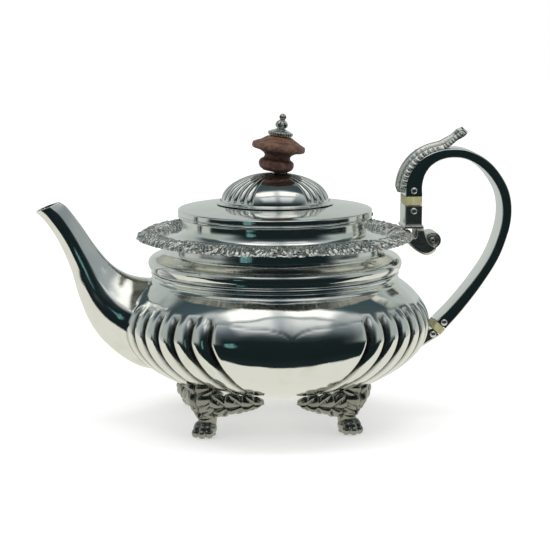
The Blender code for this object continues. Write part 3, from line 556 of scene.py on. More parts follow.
def make_neck():
    """The ring, the convex neck band, and the collar with its upstand."""
    low, high = extent("neck_ring")
    middle = (low[2] + high[2]) / 2
    half = (high[2] - low[2]) / 2
    bead = [(NECK_RADIUS - 1.2, middle + half)]
    for turn in np.linspace(math.pi / 2, -math.pi / 2, 9):
        bead.append((high[0] - half * (1 - math.cos(turn)), middle + half * math.sin(turn)))
    bead.append((NECK_RADIUS - 1.2, middle - half))
    piece(turned("neck_ring_bead", bead, SILVER, dent=0.02), "pot", "neck_ring")

    base = extent("neck_band")[0][2]
    rise = [(64.6, 18.8), (64.8, 15.6), (65.1, 12.6), (66.2, 10.8), (68.8, 9.5), (72.2, 8.3)]
    rise += [(73.9, 6.8), (74.5, 5.0), (74.2, 3.2), (73.4, 1.6), (72.0, 0.0)]
    outline = spline([(r, base + z) for r, z in rise], 6)
    outline = np.vstack([outline, outline[::-1] - (1.0, 0.0)])
    band = turned("neck_band_shell", outline, SILVER, dent=0.07, wavelength=30.0, seed=3)
    piece(band, "pot", "neck_band")

    edge, _, rim = extent("collar")[1]
    base = rim - 10.6
    bore = 53.4
    outer = bore + 1.2
    top = [(bore + 0.3, rim), (outer - 0.3, rim), (outer, rim - 0.4), (outer, rim - 3.2)]
    top += [(outer + 0.25, base + 5.2), (outer + 1.2, base + 3.0), (outer + 3.6, base + 1.15)]
    top += [(outer + 8.2, base + 0.25), (edge, base)]
    under = [(edge, base), (edge, base - 1.2), (edge, base - 1.2), (outer + 8.0, base - 1.1)]
    under += [(outer + 3.0, base - 0.1), (outer, base + 1.9), (bore, base + 4.7), (bore, rim - 0.3)]
    under += [(bore + 0.3, rim)]
    outline = spline(top + under, 5)[:-1]
    piece(turned("collar_shell", outline, SILVER, dent=0.05, wavelength=34.0, seed=7), "pot", "collar")


def shell_motif(across, up):
    """A fan of ribs that opens upwards from a point: height over across -1..1 and up 0..1."""
    spread = np.arctan2(across, up + 0.12)
    length = np.sqrt(across**2 + (up + 0.12) ** 2)
    ribs = np.abs(np.cos(spread * 5.6)) ** 0.7
    inside = ease((1.12 - length) / 0.12) * ease((1.02 - np.abs(spread)) / 0.2)
    return inside * (0.25 + 0.75 * ribs) * (0.55 + 0.45 * length)


def leaf_motif(along, up):
    """A leaf that sweeps along the border with feathered veins: along and up both 0..1."""
    spine = 0.46 + 0.16 * np.sin(along * math.pi)
    off = np.abs(up - spine) / (0.42 * np.sin(np.clip(along, 0.0, 1.0) * math.pi) ** 0.6 + 0.03)
    veins = np.abs(np.cos(math.pi * (6.0 * along - 1.5 * off))) ** 0.7
    return ease((1.0 - off) / 0.25) * (0.22 + 0.78 * veins) * (1.0 - 0.3 * off)


def border_relief(angle, up):
    """The cast border: eight fan shells with a leaf on each side and beads between, and its wavy edge."""
    period = math.tau / 8
    local = ((angle + period / 2) % period) / period - 0.5
    side = np.abs(local)
    shell = shell_motif(local / 0.115, up)
    leaf = leaf_motif((side - 0.105) / 0.25, up)
    leaf = np.where((side > 0.105) & (side < 0.355), leaf, 0.0)
    step = 0.0485
    bead_at = (side - 0.355) / step
    across = (bead_at % 1.0) * 2.0 - 1.0
    bead = np.sqrt(np.clip(1.0 - across**2 * 0.95 - ((up - 0.5) / 0.47) ** 4, 0.0, 1.0))
    bead = np.where(side >= 0.355, bead * 0.9, 0.0)
    height = np.maximum(np.maximum(shell * 1.1, leaf), bead)
    edge = 0.55 * np.exp(-((side / 0.10) ** 2)) + 0.35 * np.exp(-(((side - 0.23) / 0.07) ** 2)) - 0.45
    edge += 0.22 * np.cos(angle * 8 * 20)
    return height, edge


def make_border():
    """The cast foliate border round the collar."""
    low, high = extent("collar_border")
    outer = 81.4
    inner = extent("collar")[1][0] + GAP
    steps = 1800
    rows = 26
    angle = full_turn(steps)
    up = np.linspace(0.0, 1.0, rows)[:, None] * np.ones(steps)
    height, edge = border_relief(angle, up)
    crown = np.interp(up, (0.0, 0.16, 0.35, 0.66, 1.0), (1.0, 3.3, 4.3, 3.5, 1.3))
    radius = inner + (outer - inner + edge) * up
    cast = ripple(circled(radius, angle, 0.0), 0.30, 2.6, 11)
    raised = 1.25 * height + cast
    z = low[2] + crown - 0.7 + raised * ease(up / 0.06)
    z = np.clip(z, low[2] + 0.3, high[2] + 0.3)
    z[-1] -= 0.5
    around = raised.copy()
    for _ in range(6):
        around = (around + np.roll(around, 1, 1) + np.roll(around, -1, 1)) / 3.0
        around[1:-1] = (around[1:-1] + around[2:] + around[:-2]) / 3.0
    # Painted shade with tarnish: the hollows of the casting darken.
    recess = np.clip((around - raised) / 0.42, 0.0, 1.0)
    rim = circled(radius[-1:] - 0.35, angle, low[2] + 0.1)
    foot = circled(inner, angle[None], low[2])
    rings = np.concatenate([circled(radius, angle, z), rim, foot])
    # Painted shade under the border's outer edge, and none at its foot.
    values = np.concatenate([recess, np.full((1, steps), 0.4), np.zeros((1, steps))])
    piece(surface("border_casting", rings, CAST, values, loop=True), "pot", "collar_border")


make_neck()
make_border()


# ---------------------------------------------------------------- lid


DOME_RADIUS = 31.8


def make_lid():
    """The lid's plate with its turned-down rim and hinge notch, its bezel, and the step round the dome."""
    low, high = extent("lid_plate")
    base = low[2]
    edge = base + 5.2
    crown = high[2]
    rim = high[0]
    dome = DOME_RADIUS
    top = [(dome - 3, crown), (dome + 2, crown - 0.1), (dome + 8, crown - 0.8), (46.0, edge + 1.4)]
    top += [(53.6, edge + 0.35), (56.1, edge - 0.1), (rim - 0.15, edge - 0.55), (rim, edge - 1.2)]
    top += [(rim, base + 1.9), (rim, base + 1.9), (rim - 0.25, base + 1.5), (rim, base + 1.1)]
    top += [(rim, base + 1.1), (rim - 0.1, base + 0.3), (rim - 0.8, base)]
    under = [(53.7, base), (53.7, base), (53.7, base + 1.0), (55.8, base + 1.4), (55.8, edge - 1.8)]
    under += [(53.6, edge - 0.9), (46.0, edge + 0.3), (dome + 6, crown - 1.7), (dome - 3, crown - 1.1)]
    under += [(dome - 3, crown - 1.1), (dome - 3, crown)]
    outline = spline(top + under, 5)[:-1]
    cover = turned("lid_cover", outline, SILVER, steps=288, dent=0.05, wavelength=30.0, seed=13)
    _, hinge_half, hinge_top = extent("hinge_leaf_pot")[1]
    half = hinge_half + 1.2
    carve(cover, (rim - 4.0, -half, base - 1.0), (rim + 1.5, half, hinge_top + 0.4))
    piece(cover, "lid", "lid_plate")

    low, high = extent("lid_bezel")
    outer = high[0]
    bezel = [(outer - 0.3, high[2]), (outer, high[2] - 0.3), (outer, low[2] + 0.4), (outer - 0.4, low[2])]
    bezel += [(outer - 0.7, low[2]), (outer - 1.0, low[2] + 0.3), (outer - 1.0, high[2] - 0.3)]
    piece(turned("bezel_ring", bezel, SILVER, dent=0.03, seed=15), "lid", "lid_bezel")

    base = extent("dome_moulding")[0][2]
    inner = dome + 0.4
    step = [(inner, base + 1.5), (dome + 1.0, base + 1.3), (dome + 1.4, base + 0.8)]
    step += [(dome + 2.2, base + 0.55), (dome + 2.8, base + 0.45), (dome + 3.0, base + 0.2)]
    step += [(dome + 2.9, base), (dome + 2.9, base), (inner, base), (inner, base), (inner, base + 1.5)]
    piece(turned("dome_step", spline(step, 4)[:-1], SILVER, dent=0.02, seed=17), "lid", "dome_moulding")


def make_dome():
    """The dome: flutes run up its spout and handle sides and close together under the knob."""
    low, high = extent("lid_dome")
    base = low[2]
    height = high[2] - base
    radius = DOME_RADIUS
    bore = 3.0
    angle = full_turn(576)
    polar = np.linspace(0.0, math.acos(bore / radius), 48)[:, None] * np.ones(len(angle))
    side = np.degrees(np.abs(((angle + math.pi / 2) % math.pi) - math.pi / 2))
    pitch = 10.5
    across = (2.0 * ((side + pitch / 2) % pitch) / pitch - 1.0) / 0.9
    lobed = side < 5.5 * pitch
    half = math.radians(pitch) * radius * np.cos(polar) / 2
    above = radius * 0.75 * polar - 2.2
    arch = np.clip((half - above) / half, 0.0, None)
    reach = np.sqrt(across**2 + arch**2)
    bulge = np.clip(1.0 - np.clip(reach, 0, 1) ** 2.2, 0.0, 1.0) ** 0.6
    trench = ease(above / half) * ease(np.cos(polar) / 0.5)
    relief = np.where(lobed, trench * (1.6 * bulge - 1.45), 0.0)
    bank = np.clip(1.0 - np.abs(side - 5.5 * pitch) / 3.0, 0.0, 1.0) * trench
    relief = np.where(lobed, relief, -0.9 * bank)
    # Painted shade with tarnish in the flute grooves and along the plain panels' edges.
    recess = np.where(lobed, trench * np.clip(1.3 - 1.9 * bulge, 0, 1), bank)
    relief = relief + ripple(circled(radius * np.cos(polar), angle, height * np.sin(polar)), 0.05, 17.0, 19)
    spread = radius * np.cos(polar) + relief * np.cos(polar)
    z = base + height * np.sin(polar) + relief * np.sin(polar) * 0.8
    outer = circled(spread, angle, z)
    wall = 2.1
    polar = np.linspace(math.acos(bore / (radius - wall)), 0.0, 14)[:, None]
    inner = circled((radius - wall) * np.cos(polar), angle, base + (height - wall) * np.sin(polar))
    rings = np.concatenate([outer, inner])
    values = np.concatenate([recess, np.zeros(inner.shape[:2])])
    piece(surface("dome_shell", rings, SILVER, values, loop=True), "lid", "lid_dome")


LEAN = math.radians(8.0)
DOME_TOP = extent("lid_dome")[1][2]


def leaning(rings, seat):
    """Stands rings on the dome's top at a height, leaning towards the handle."""
    turn = np.array(Matrix.Rotation(LEAN, 3, "Y"))
    rings = np.asarray(rings, float) + (0.0, 0.0, seat - DOME_TOP)
    return rings @ turn.T + (0.0, 0.0, DOME_TOP)


def make_knob():
    """The turned wooden knob, chipped and worn, with its silver finial."""
    seat = DOME_TOP + 1.0
    bore = 1.9
    tall = 20.4
    disc = 15.6
    profile = [(bore, tall), (bore, tall), (6.3, tall), (8.0, 19.8), (10.6, 18.2), (disc - 1.6, 16.4)]
    profile += [(disc - 0.3, 15.7), (disc, 14.8), (disc - 0.1, 13.4), (disc - 0.7, 12.5), (disc - 2.2, 12.1)]
    profile += [(12.2, 12.0), (9.4, 10.8), (7.6, 9.2), (7.9, 7.4), (9.4, 6.4), (10.1, 5.2), (10.3, 3.6)]
    profile += [(9.5, 1.7), (7.4, 0.3), (6.8, 0.0), (bore, 0.0), (bore, 0.0), (bore, tall)]
    outline = spline(profile, 6)[:-1]
    rings, angle = revolve(outline, 160)
    worn = ripple(rings, 0.16, 9.0, 23) + ripple(rings, 0.07, 3.0, 24)
    worn = worn * ease((outline[:, :1] - 4.0) / 4.0)
    rings[..., 0] += worn * np.cos(angle)
    rings[..., 1] += worn * np.sin(angle)
    rings[..., 2] += 0.6 * worn
    radius, z = outline[:, :1], outline[:, 1:]
    wear = ease((z - 11.5) / 3.0) * 0.9 + 0.4 * ease((radius - 9.3) / 0.8) * (z < 8) + 0.1
    wear = np.clip(wear, 0, 1) * np.ones(len(angle))
    piece(surface("wooden_knob", leaning(rings, seat), WOOD, wear, True, "wear"), "lid", "knob")

    ring = 7.2
    tip = 13.2
    profile = [(0.05, tip), (0.9, tip - 0.2), (1.7, tip - 1.2), (1.9, tip - 2.4), (1.4, tip - 3.6)]
    profile += [(2.5, tip - 4.7), (3.2, tip - 6.2), (3.1, tip - 7.6), (2.3, tip - 8.6), (2.5, 4.4)]
    profile += [(3.6, 3.9), (4.0, 3.6), (4.0, 3.6), (5.4, 3.2), (6.2, 2.7), (6.2, 2.7), (ring - 0.2, 2.3)]
    profile += [(ring, 1.6), (ring - 0.2, 0.6), (ring - 1.0, 0.0)]
    profile += [(1.6, 0.0), (1.6, 0.0), (1.4, -29.0), (0.05, -29.2)]
    outline = spline(profile, 5)
    angle = full_turn(120)
    radius, z = outline[:, :1], outline[:, 1:]
    bud = ease((z - 4.2) / 1.0)
    petals = np.abs(np.cos(angle * 4 + np.where(z > tip - 4.0, math.pi / 2, 0.0))) ** 0.7
    veins = 0.25 * np.cos(angle * 24)
    grow = 1.0 + bud * (0.34 * petals - 0.22 + 0.10 * veins)
    rope = ease((z - 0.4) / 0.4) * ease((2.4 - z) / 0.4) * 0.22 * np.cos(angle * 30 + z * 1.5)
    rings = circled(radius * grow + rope, angle, z)
    # Painted shade with tarnish between the petals and in the rope's grooves.
    recess = np.clip(bud * (1.0 - 1.4 * petals) + np.clip(-rope * 3.0, 0, 1), 0.0, 1.0)
    piece(surface("finial_bud", leaning(rings, seat + tall + GAP), CAST, recess), "lid", "finial")


make_lid()
make_dome()
make_knob()


# ---------------------------------------------------------------- spout

# The spout's upper and lower edge and half width, from its mouth: (x, z, x, z, half width)
SPOUT = (
    (-125.7, 131.4, -139.35, 125.9, 5.6),
    (-121.2, 128.2, -133.0, 119.0, 6.0),
    (-113.9, 118.5, -125.8, 107.1, 7.0),
    (-105.5, 106.0, -119.4, 91.2, 9.2),
    (-96.4, 95.0, -114.6, 74.0, 13.0),
    (-88.0, 89.2, -108.0, 58.6, 17.5),
    (-80.0, 86.6, -98.0, 46.0, 21.5),
    (-72.0, 85.6, -81.0, 34.2, 24.0),
    (-62.0, 84.0, -60.0, 30.0, 25.0),
)


def spout_rings(wall, rows, sides):
    """Rings of the swan-necked spout, each generator cut where it meets the bowl."""
    stations = spline(SPOUT, 40)
    angle = full_turn(sides)
    upper, lower, width = stations[:, 0:2], stations[:, 2:4], stations[:, 4]
    middle, reach = (upper + lower) / 2, (upper - lower) / 2
    length = np.linalg.norm(reach, axis=1, keepdims=True)
    reach = reach * (1 - wall / length)
    over, aside = np.cos(angle), np.sin(angle)
    chamfer = np.where(over > 0, np.maximum((0.91 * over + np.abs(aside)) / 1.16, 1.0), 1.0)
    over, aside = over / chamfer, aside / chamfer
    x = middle[:, :1] + reach[:, :1] * over
    z = middle[:, 1:] + reach[:, 1:] * over
    y = (width[:, None] - wall) * aside
    full = np.stack([x, y * np.ones_like(x), z], -1)
    full += ripple(full, 0.10, 26.0, 29)[..., None] * np.array([0.4, 1.0, 0.4])
    sunk = 0.6
    radius = np.hypot(full[..., 0], full[..., 1])
    height = (full[..., 2] - BOWL_CENTRE) / (BOWL_HALF_HEIGHT - sunk)
    level = np.hypot(radius / (BOWL_RADIUS - sunk), height)
    rings = np.zeros((rows, sides, 3))
    for j in range(sides):
        line, inside = full[:, j], np.nonzero(level[:, j] < 1.0)[0]
        end = inside[0] if len(inside) else len(line) - 1
        before, after = level[end - 1, j], level[end, j]
        stop = end - 1 + ((1.0 - before) / (after - before) if len(inside) else 0.0)
        at = stop * (np.arange(rows) / (rows - 1))
        for axis in range(3):
            rings[:, j, axis] = np.interp(at, np.arange(len(line)), line[:, axis])
    return rings


def make_spout():
    """The spout: a thin tube with a softly rolled lip, dark where it is soldered to the bowl."""
    rows = 80
    sides = 96
    outer = spout_rings(0.0, rows, sides)
    inner = spout_rings(1.1, rows, sides)[::-1]
    lip = outer[:1] * 0.35 + inner[-1:] * 0.65
    direction = (outer[0] - outer[2]).mean(0)
    direction /= np.linalg.norm(direction)
    outer[0] = outer[0] * 0.93 + inner[-1] * 0.07
    outer[0] += 0.12 * direction
    lip = lip + 0.30 * direction
    rings = np.concatenate([outer, inner, lip])
    root = np.zeros(rings.shape[:2])
    root[:rows] = 0.7 * ease((np.arange(rows) - (rows - 3)) / 2.0)[:, None]
    piece(surface("spout_tube", rings, SILVER, root, loop=True), "pot", "spout")


make_spout()


# ---------------------------------------------------------------- handle and its joints

# The strap's middle line and section, from the upper joint: (x, z, thickness, width)
HANDLE = (
    (80.9, 133.4, 10.2, 19.0),
    (81.1, 140.4, 9.8, 19.0),
    (83.4, 147.2, 8.8, 19.0),
    (88.4, 153.2, 7.2, 19.0),
    (95.6, 157.0, 6.0, 19.0),
    (103.8, 158.3, 5.5, 19.2),
    (112.6, 157.2, 5.6, 19.6),
    (121.4, 152.8, 5.8, 20.0),
    (128.9, 145.4, 5.8, 20.4),
    (134.7, 135.2, 5.7, 20.4),
    (136.55, 124.0, 5.6, 20.2),
    (135.0, 112.0, 5.5, 19.8),
    (129.4, 96.6, 5.6, 19.2),
    (119.4, 80.8, 6.0, 18.6),
    (107.8, 66.2, 6.8, 18.0),
    (98.4, 56.1, 7.6, 17.6),
)


def strap_section(thickness, width, corner):
    """A rounded strap's section: (through, across) points, six round each of its four corners."""
    half_t, half_w = thickness / 2, width / 2
    points = []
    for sign_t, sign_w, start in ((1, 1, 0), (-1, 1, 90), (-1, -1, 180), (1, -1, 270)):
        centre = np.array([sign_t * (half_t - corner), sign_w * (half_w - corner)])
        turn = np.radians(np.linspace(start, start + 90, 6))
        points += list(centre + corner * np.stack([np.cos(turn), np.sin(turn)], -1))
    return np.array(points)


def leftward(line):
    """The unit direction square to an (x, z) line, outward on the handle."""
    along = directions(line)
    return np.stack([-along[:, 1], along[:, 0]], -1)


def strap_rings(stations, corner, shrink=0.0):
    """Rings of the strap, or of its hollow where it shrinks by a wall."""
    middle, out = stations[:, :2], leftward(stations[:, :2])
    rings = []
    for (x, z), (ox, oz), (thickness, width) in zip(middle, out, stations[:, 2:4]):
        section = strap_section(thickness - 2 * shrink, width - 2 * shrink, max(corner - shrink, 0.15))
        through, across = section[:, 0], section[:, 1]
        rings.append(np.stack([x + ox * through, across, z + oz * through], -1))
    return np.array(rings)


def make_handle():
    """The hollow strap handle. Returns its stations."""
    stations = spline(HANDLE, 12)
    outer = strap_rings(stations, 0.9)
    inner = strap_rings(stations, 0.9, 1.0)[::-1]
    outer += ripple(outer, 0.07, 22.0, 31)[..., None] * np.array([0.7, 1.0, 0.7])
    rings = np.concatenate([outer, inner])
    piece(surface("handle_strap", rings, SILVER, loop=True), "pot", "handle")
    return stations


HANDLE_LINE = make_handle()


def foliate(spine, up, across, half_width, thickness, scallops, droop, sides=48, notch=0.16, flutes=0):
    """A cast leaf along a spine: scalloped edges that droop, and veins that curve out or run along it."""
    s = np.linspace(0.0, 1.0, len(spine))[:, None]
    turn = full_turn(sides)
    u = np.cos(turn) * np.ones_like(s)
    face = np.sin(turn) * np.ones_like(s)
    swing = 2.0 * ((s * scallops) % 1.0) - 1.0
    edge = 1.0 - notch * (1.0 - np.sqrt(1.0 - 0.96 * swing**2))
    if flutes:
        vein = np.abs(np.cos(math.pi * flutes * u / 2)) ** 0.8
        beads = np.abs(np.sin(math.pi * s * scallops)) ** 0.6
        vein = np.where(np.abs(u) > 0.84, beads, vein)
        centre = np.zeros_like(u)
    else:
        vein = np.abs(np.sin(math.pi * scallops * (s + 0.16 * np.abs(u) ** 1.2))) ** 0.6
        centre = np.exp(-((u / 0.12) ** 2))
    body = np.clip(1.0 - np.abs(u) ** 3, 0.0, 1.0) ** 0.5
    front = body * (0.40 + 0.60 * vein * (1 - centre)) - 0.3 * centre * body
    height = np.where(face >= 0, front, -0.35 * body)
    wide = half_width[:, None] * edge * u
    lift = thickness[:, None] * height - droop[:, None] * np.abs(u) ** 2.4
    rings = spine[:, None, :] + across[:, None, :] * wide[..., None] + up[:, None, :] * lift[..., None]
    # Painted shade with tarnish between the veins, and painted shade over the whole underside.
    recess = np.where(face >= 0, np.clip(1.1 - 1.6 * vein * (1 - centre), 0, 1), 0.8)
    return rings, recess


def make_thumb_leaf():
    """The acanthus leaf over the handle's shoulder, with its serrated tip curled up as a thumb rest."""
    stations = HANDLE_LINE[3:54]
    seat = stations[:, :2] + leftward(stations[:, :2]) * (stations[:, 2:3] / 2 + GAP + 0.35)
    tip = spline([seat[-1], (102.2, 163.6), (106.4, 166.2), (109.9, 168.9), (112.4, 171.6)], 9)[1:]
    line = np.vstack([seat[: len(seat) - 2], tip])
    at = np.linspace(0, len(line) - 1, 150)
    line = np.stack([np.interp(at, np.arange(len(line)), line[:, i]) for i in range(2)], -1)
    lift = leftward(line)
    s = np.linspace(0, 1, len(line))
    spine = np.stack([line[:, 0], 0 * s, line[:, 1]], -1)
    up = np.stack([lift[:, 0], 0 * s, lift[:, 1]], -1)
    across = np.tile([0.0, 1.0, 0.0], (len(s), 1))
    places = [0.0, 0.05, 0.3, 0.6, 0.74, 0.80, 0.90, 0.96, 1.0]
    half = np.interp(s, places, [6.6, 9.5, 9.7, 8.8, 6.8, 5.0, 6.4, 5.4, 2.0])
    thick = np.interp(s, [0.0, 0.06, 0.4, 0.75, 0.9, 1.0], [2.6, 3.8, 3.9, 3.2, 3.8, 2.6])
    droop = np.interp(s, [0.0, 0.1, 0.6, 0.78, 1.0], [0.6, 1.3, 1.1, 0.5, 1.8])
    rings, recess = foliate(spine, up, across, half, thick, 22, droop, sides=72, notch=0.10, flutes=5)
    piece(surface("acanthus_leaf", rings, CAST, recess), "pot", "thumb_leaf")


make_thumb_leaf()


def box_rings(x, levels, corner=0.8):
    """Level rounded-box rings across the handle's end: (z, thickness, width) from the lowest up."""
    rings = []
    for z, thickness, width in levels:
        section = strap_section(thickness, width, corner)
        rings.append(np.stack([x + section[:, 0], section[:, 1], np.full(len(section), z)], -1))
    return np.array(rings)


def make_upper_socket():
    """The socket over the border, moulded at its foot, and the leaf scroll that curls under it."""
    low, high = extent("socket_upper")
    x = (low[0] + high[0]) / 2
    strap, width = 10.2, 19.0
    foot = low[2]
    top = high[2]
    pocket = top - 6.4
    levels = [(foot, strap + 0.6, width + 1.2), (foot, strap + 1.5, width + 2.1)]
    levels += [(foot + 0.5, strap + 1.9, width + 2.5), (foot + 1.1, strap + 1.6, width + 2.2)]
    levels += [(foot + 1.3, strap + 0.7, width + 1.0), (foot + 1.7, strap + 0.6, width + 0.8)]
    levels += [(foot + 2.2, strap + 0.1, width + 0.2), (foot + 3.2, strap, width), (top - 0.8, strap, width)]
    levels += [(top - 0.25, strap, width), (top, strap - 0.5, width - 0.5), (top, strap - 2.0, width - 2.0)]
    levels += [(pocket, strap - 2.0, width - 2.0)]
    piece(surface("socket_upper_box", box_rings(x, levels), CAST), "pot", "socket_upper")

    top = foot - GAP
    edge = [(82.6, top), (87.4, top), (87.4, top), (88.4, 110.6), (89.6, 107.4), (91.6, 104.4)]
    edge += [(94.4, 102.6), (94.6, 101.0), (92.4, 98.9), (88.6, 98.0), (83.8, 100.1), (79.6, 103.6)]
    edge += [(77.6, 107.8), (78.4, 108.7), (82.4, 109.1), (82.6, top)]
    outline = spline(edge, 5)[:-1]
    middle = outline.mean(0)
    rings = []
    half = 8.6
    for y in np.linspace(-half, half, 61):
        share = abs(y) / half
        flute = 1.0 - np.abs(np.cos(math.pi * y / 3.44)) ** 0.7
        shrink = 1.0 - 0.09 * flute - 0.10 * ease((share - 0.9) / 0.1)
        ring = middle + (outline - middle) * shrink
        rings.append(np.stack([ring[:, 0], np.full(len(ring), y), ring[:, 1]], -1))
    front, reach, _ = extent("scroll_bracket")[1]
    disc = [(0.05, reach - 0.3), (1.1, reach - 0.3), (1.5, reach - 0.9), (2.4, reach - 1.3)]
    disc += [(3.1, reach - 0.9), (3.6, reach - 0.1), (4.4, reach), (4.9, reach - 0.4), (5.0, reach - 1.1)]
    profile = np.array(disc + [(r, -y) for r, y in reversed(disc)])
    volute, _ = revolve(profile, 60)
    x, z = front - 5.0, 106.8
    volute = np.stack([volute[..., 0] + x, volute[..., 2], volute[..., 1] + z], -1)
    scroll = fuse("scroll_leaf", [np.array(rings), volute], 0.30, CAST)
    mark_recesses(scroll.data, 0.22)
    piece(scroll, "pot", "scroll_bracket")


make_upper_socket()


def make_pins():
    """Silver pins through the handle's joints, their ends spread into low domes."""
    for name in ("pin_upper_handle", "pin_upper_socket", "pin_lower_handle", "pin_lower_socket"):
        low, high = extent(name)
        centre = (low + high) / 2
        half = (high[1] - low[1]) / 2
        head = (high[0] - low[0]) / 2
        dome = [(0.05, half), (head * 0.45, half - 0.08), (head * 0.8, half - 0.35)]
        dome += [(head, half - 0.8), (0.95, half - 0.95)]
        profile = np.array(dome + [(r, -y) for r, y in reversed(dome)])
        rings = revolve(profile, 40)[0][..., [0, 2, 1]] + centre
        piece(surface(name + "_rivet", rings, CAST), "pot", name)


make_pins()


# ---------------------------------------------------------------- feet


def ellipsoid(centre, size):
    """Rings of an ellipsoid with small flats at its poles."""
    polar = np.linspace(-math.pi / 2 + 0.05, math.pi / 2 - 0.05, 12)[:, None]
    return circled(np.cos(polar), full_turn(20), np.sin(polar)) * size + centre


def underside(radius, offset):
    """The height of the bowl's underside at a radius."""
    share = np.clip(radius / (BOWL_RADIUS + offset), 0.0, 0.999)
    return BOWL_CENTRE - (BOWL_HALF_HEIGHT + offset) * np.sqrt(1 - share**2)


def wing(place, side):
    """A side leaf: it springs from the leg and spreads under the bowl to one side of the foot."""
    points = []
    for share, drop in ((0.0, 11.0), (0.18, 8.4), (0.4, 6.2), (0.65, 4.4), (0.85, 3.0), (1.0, 2.0)):
        azimuth = side * share * math.radians(34.0)
        radius = place + 4.5 - 8.0 * share
        x, y = radius * math.cos(azimuth) - place, radius * math.sin(azimuth)
        points.append((x, y, underside(radius, 1.0) - drop))
    spine = spline(points, 9)
    steps = directions(spine)
    s = np.linspace(0, 1, len(spine))
    up = np.stack([0.80 + 0 * s, side * 0.25 * s, -0.55 - 0.25 * s], -1)
    up -= steps * np.einsum("ij,ij->i", up, steps)[:, None]
    up /= np.linalg.norm(up, axis=1, keepdims=True)
    across = np.cross(steps, up)
    half = np.interp(s, [0, 0.2, 0.5, 0.8, 1.0], [7.5, 9.8, 9.2, 6.4, 1.6])
    thick = np.interp(s, [0, 0.3, 0.7, 1.0], [3.2, 3.8, 3.2, 1.8])
    droop = np.interp(s, [0, 0.5, 1.0], [0.6, 1.6, 1.2])
    rings, _ = foliate(spine, up, across, half, thick, 5, droop, notch=0.34)
    return rings


def front_leaf(top):
    """The acanthus leaf down the front of the leg, its tip curling out over the paw."""
    points = [(10.4, 0.0, top + 7.0), (9.9, 0.0, top + 2.0), (8.8, 0.0, top - 4.5)]
    points += [(6.6, 0.0, 17.0), (5.4, 0.0, 13.6), (6.6, 0.0, 11.2)]
    spine = spline(points, 9)
    s = np.linspace(0, 1, len(spine))
    across = np.tile([0.0, 1.0, 0.0], (len(s), 1))
    up = np.cross(directions(spine), across)
    up *= np.sign(up[:, :1])
    half = np.interp(s, [0, 0.25, 0.6, 0.85, 1.0], [10.5, 10.5, 8.8, 6.2, 2.2])
    thick = np.interp(s, [0, 0.5, 1.0], [3.2, 3.6, 2.2])
    droop = np.interp(s, [0, 0.5, 1.0], [5.0, 3.6, 0.8])
    rings, _ = foliate(spine, up, across, half, thick, 4, droop, notch=0.26)
    return rings


def foot_parts(place):
    """The solids that a foot is fused from: leg, paw, toes with claws, and leaves."""
    top = underside(place, 1.0)
    leg = [(5.0, 5.4, 6.5), (5.2, 5.7, 9.5), (5.4, 6.2, 12.0), (5.8, 7.0, 15.0), (6.0, 7.6, 18.5)]
    leg += [(7.6, 10.0, top - 1.5), (9.0, 12.0, top + 2.0), (9.8, 13.5, top + 8.0)]
    deep, wide, z = spline(leg, 4).T[..., None]
    turn = full_turn(28)
    leg = np.stack([0.4 + deep * np.cos(turn), wide * np.sin(turn), z * np.ones(len(turn))], -1)
    parts = [leg, ellipsoid((1.6, 0.0, 5.2), (6.2, 6.6, 5.2))]
    for angle, reach in ((-68, 4.6), (-23, 5.4), (23, 5.4), (68, 4.6)):
        across, along = math.sin(math.radians(angle)), math.cos(math.radians(angle))
        parts.append(ellipsoid((2.2 + reach * along * 0.72, reach * across * 0.98, 4.6), (3.6, 2.5, 4.3)))
        parts.append(ellipsoid((2.4 + reach * along * 1.06, reach * across * 1.16, 2.9), (2.7, 2.3, 2.8)))
    parts.append(ellipsoid((0.8, 0.0, 1.6), (5.2, 5.4, 1.6)))
    return parts + [front_leaf(top), wing(place, 1), wing(place, -1)]


def make_feet():
    """Four feet, each turned to face outward and cut off where it meets the bowl."""
    places = [(-43.0, -41.0), (37.0, -41.0), (37.0, 41.0), (-43.0, 41.0)]
    for number, (x, y) in enumerate(places, start=1):
        place = math.hypot(x, y)
        azimuth = math.atan2(y, x)
        turn = np.array(Matrix.Rotation(azimuth, 3, "Z"))
        parts = []
        for rings in foot_parts(place):
            rings = rings @ turn.T + (x, y, 0.0)
            limit = underside(np.hypot(rings[..., 0], rings[..., 1]), -0.9)
            rings[..., 2] = np.clip(rings[..., 2], 0.0, limit)
            parts.append(rings)
        foot = fuse(f"paw_foot_{number}", parts, 0.36, OXIDISED_SHADED)
        # Painted shade with tarnish in the hollows of each foot.
        mark_recesses(foot.data, 0.18)
        piece(foot, "pot", f"foot_{number}")


make_feet()


# ---------------------------------------------------------------- CAD nodes that stay


def keep_nodes():
    """The small parts whose CAD shape is right: softened edges and the proper finish."""
    finishes = {
        "insulator_upper": IVORY,
        "insulator_lower": IVORY,
        "socket_lower": CAST,
        "hinge_leaf_pot": SILVER,
        "hinge_knuckle_lid": SILVER,
        "hinge_pin": SILVER,
        "knob_nut": SILVER,
        "knob_washer": SILVER,
    }
    for name, material in finishes.items():
        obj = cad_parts[name]
        obj.data.materials.clear()
        obj.data.materials.append(material)
        bevel = obj.modifiers.new("worn_edges", "BEVEL")
        bevel.width = 0.25 * MM
        bevel.segments = 2
        bevel.limit_method = "ANGLE"
        bevel.angle_limit = math.radians(30.0)


keep_nodes()


# ---------------------------------------------------------------- studio


def emission(name, colour, strength):
    """A material that only gives light."""
    material = bpy.data.materials.new(name)
    material.use_nodes = True
    tree = material.node_tree
    tree.nodes.clear()
    light = node(tree, "ShaderNodeEmission", None, Color=(*colour, 1.0), Strength=strength)
    out = tree.nodes.new("ShaderNodeOutputMaterial")
    tree.links.new(light.outputs[0], out.inputs[0])
    return material


def flat_card(name, corners, material):
    """A four-cornered card that belongs to the studio, in metres."""
    mesh = bpy.data.meshes.new(name)
    mesh.from_pydata(corners, [], [(0, 1, 2, 3)])
    mesh.materials.append(material)
    card = bpy.data.objects.new(name, mesh)
    bpy.context.scene.collection.objects.link(card)
    return card


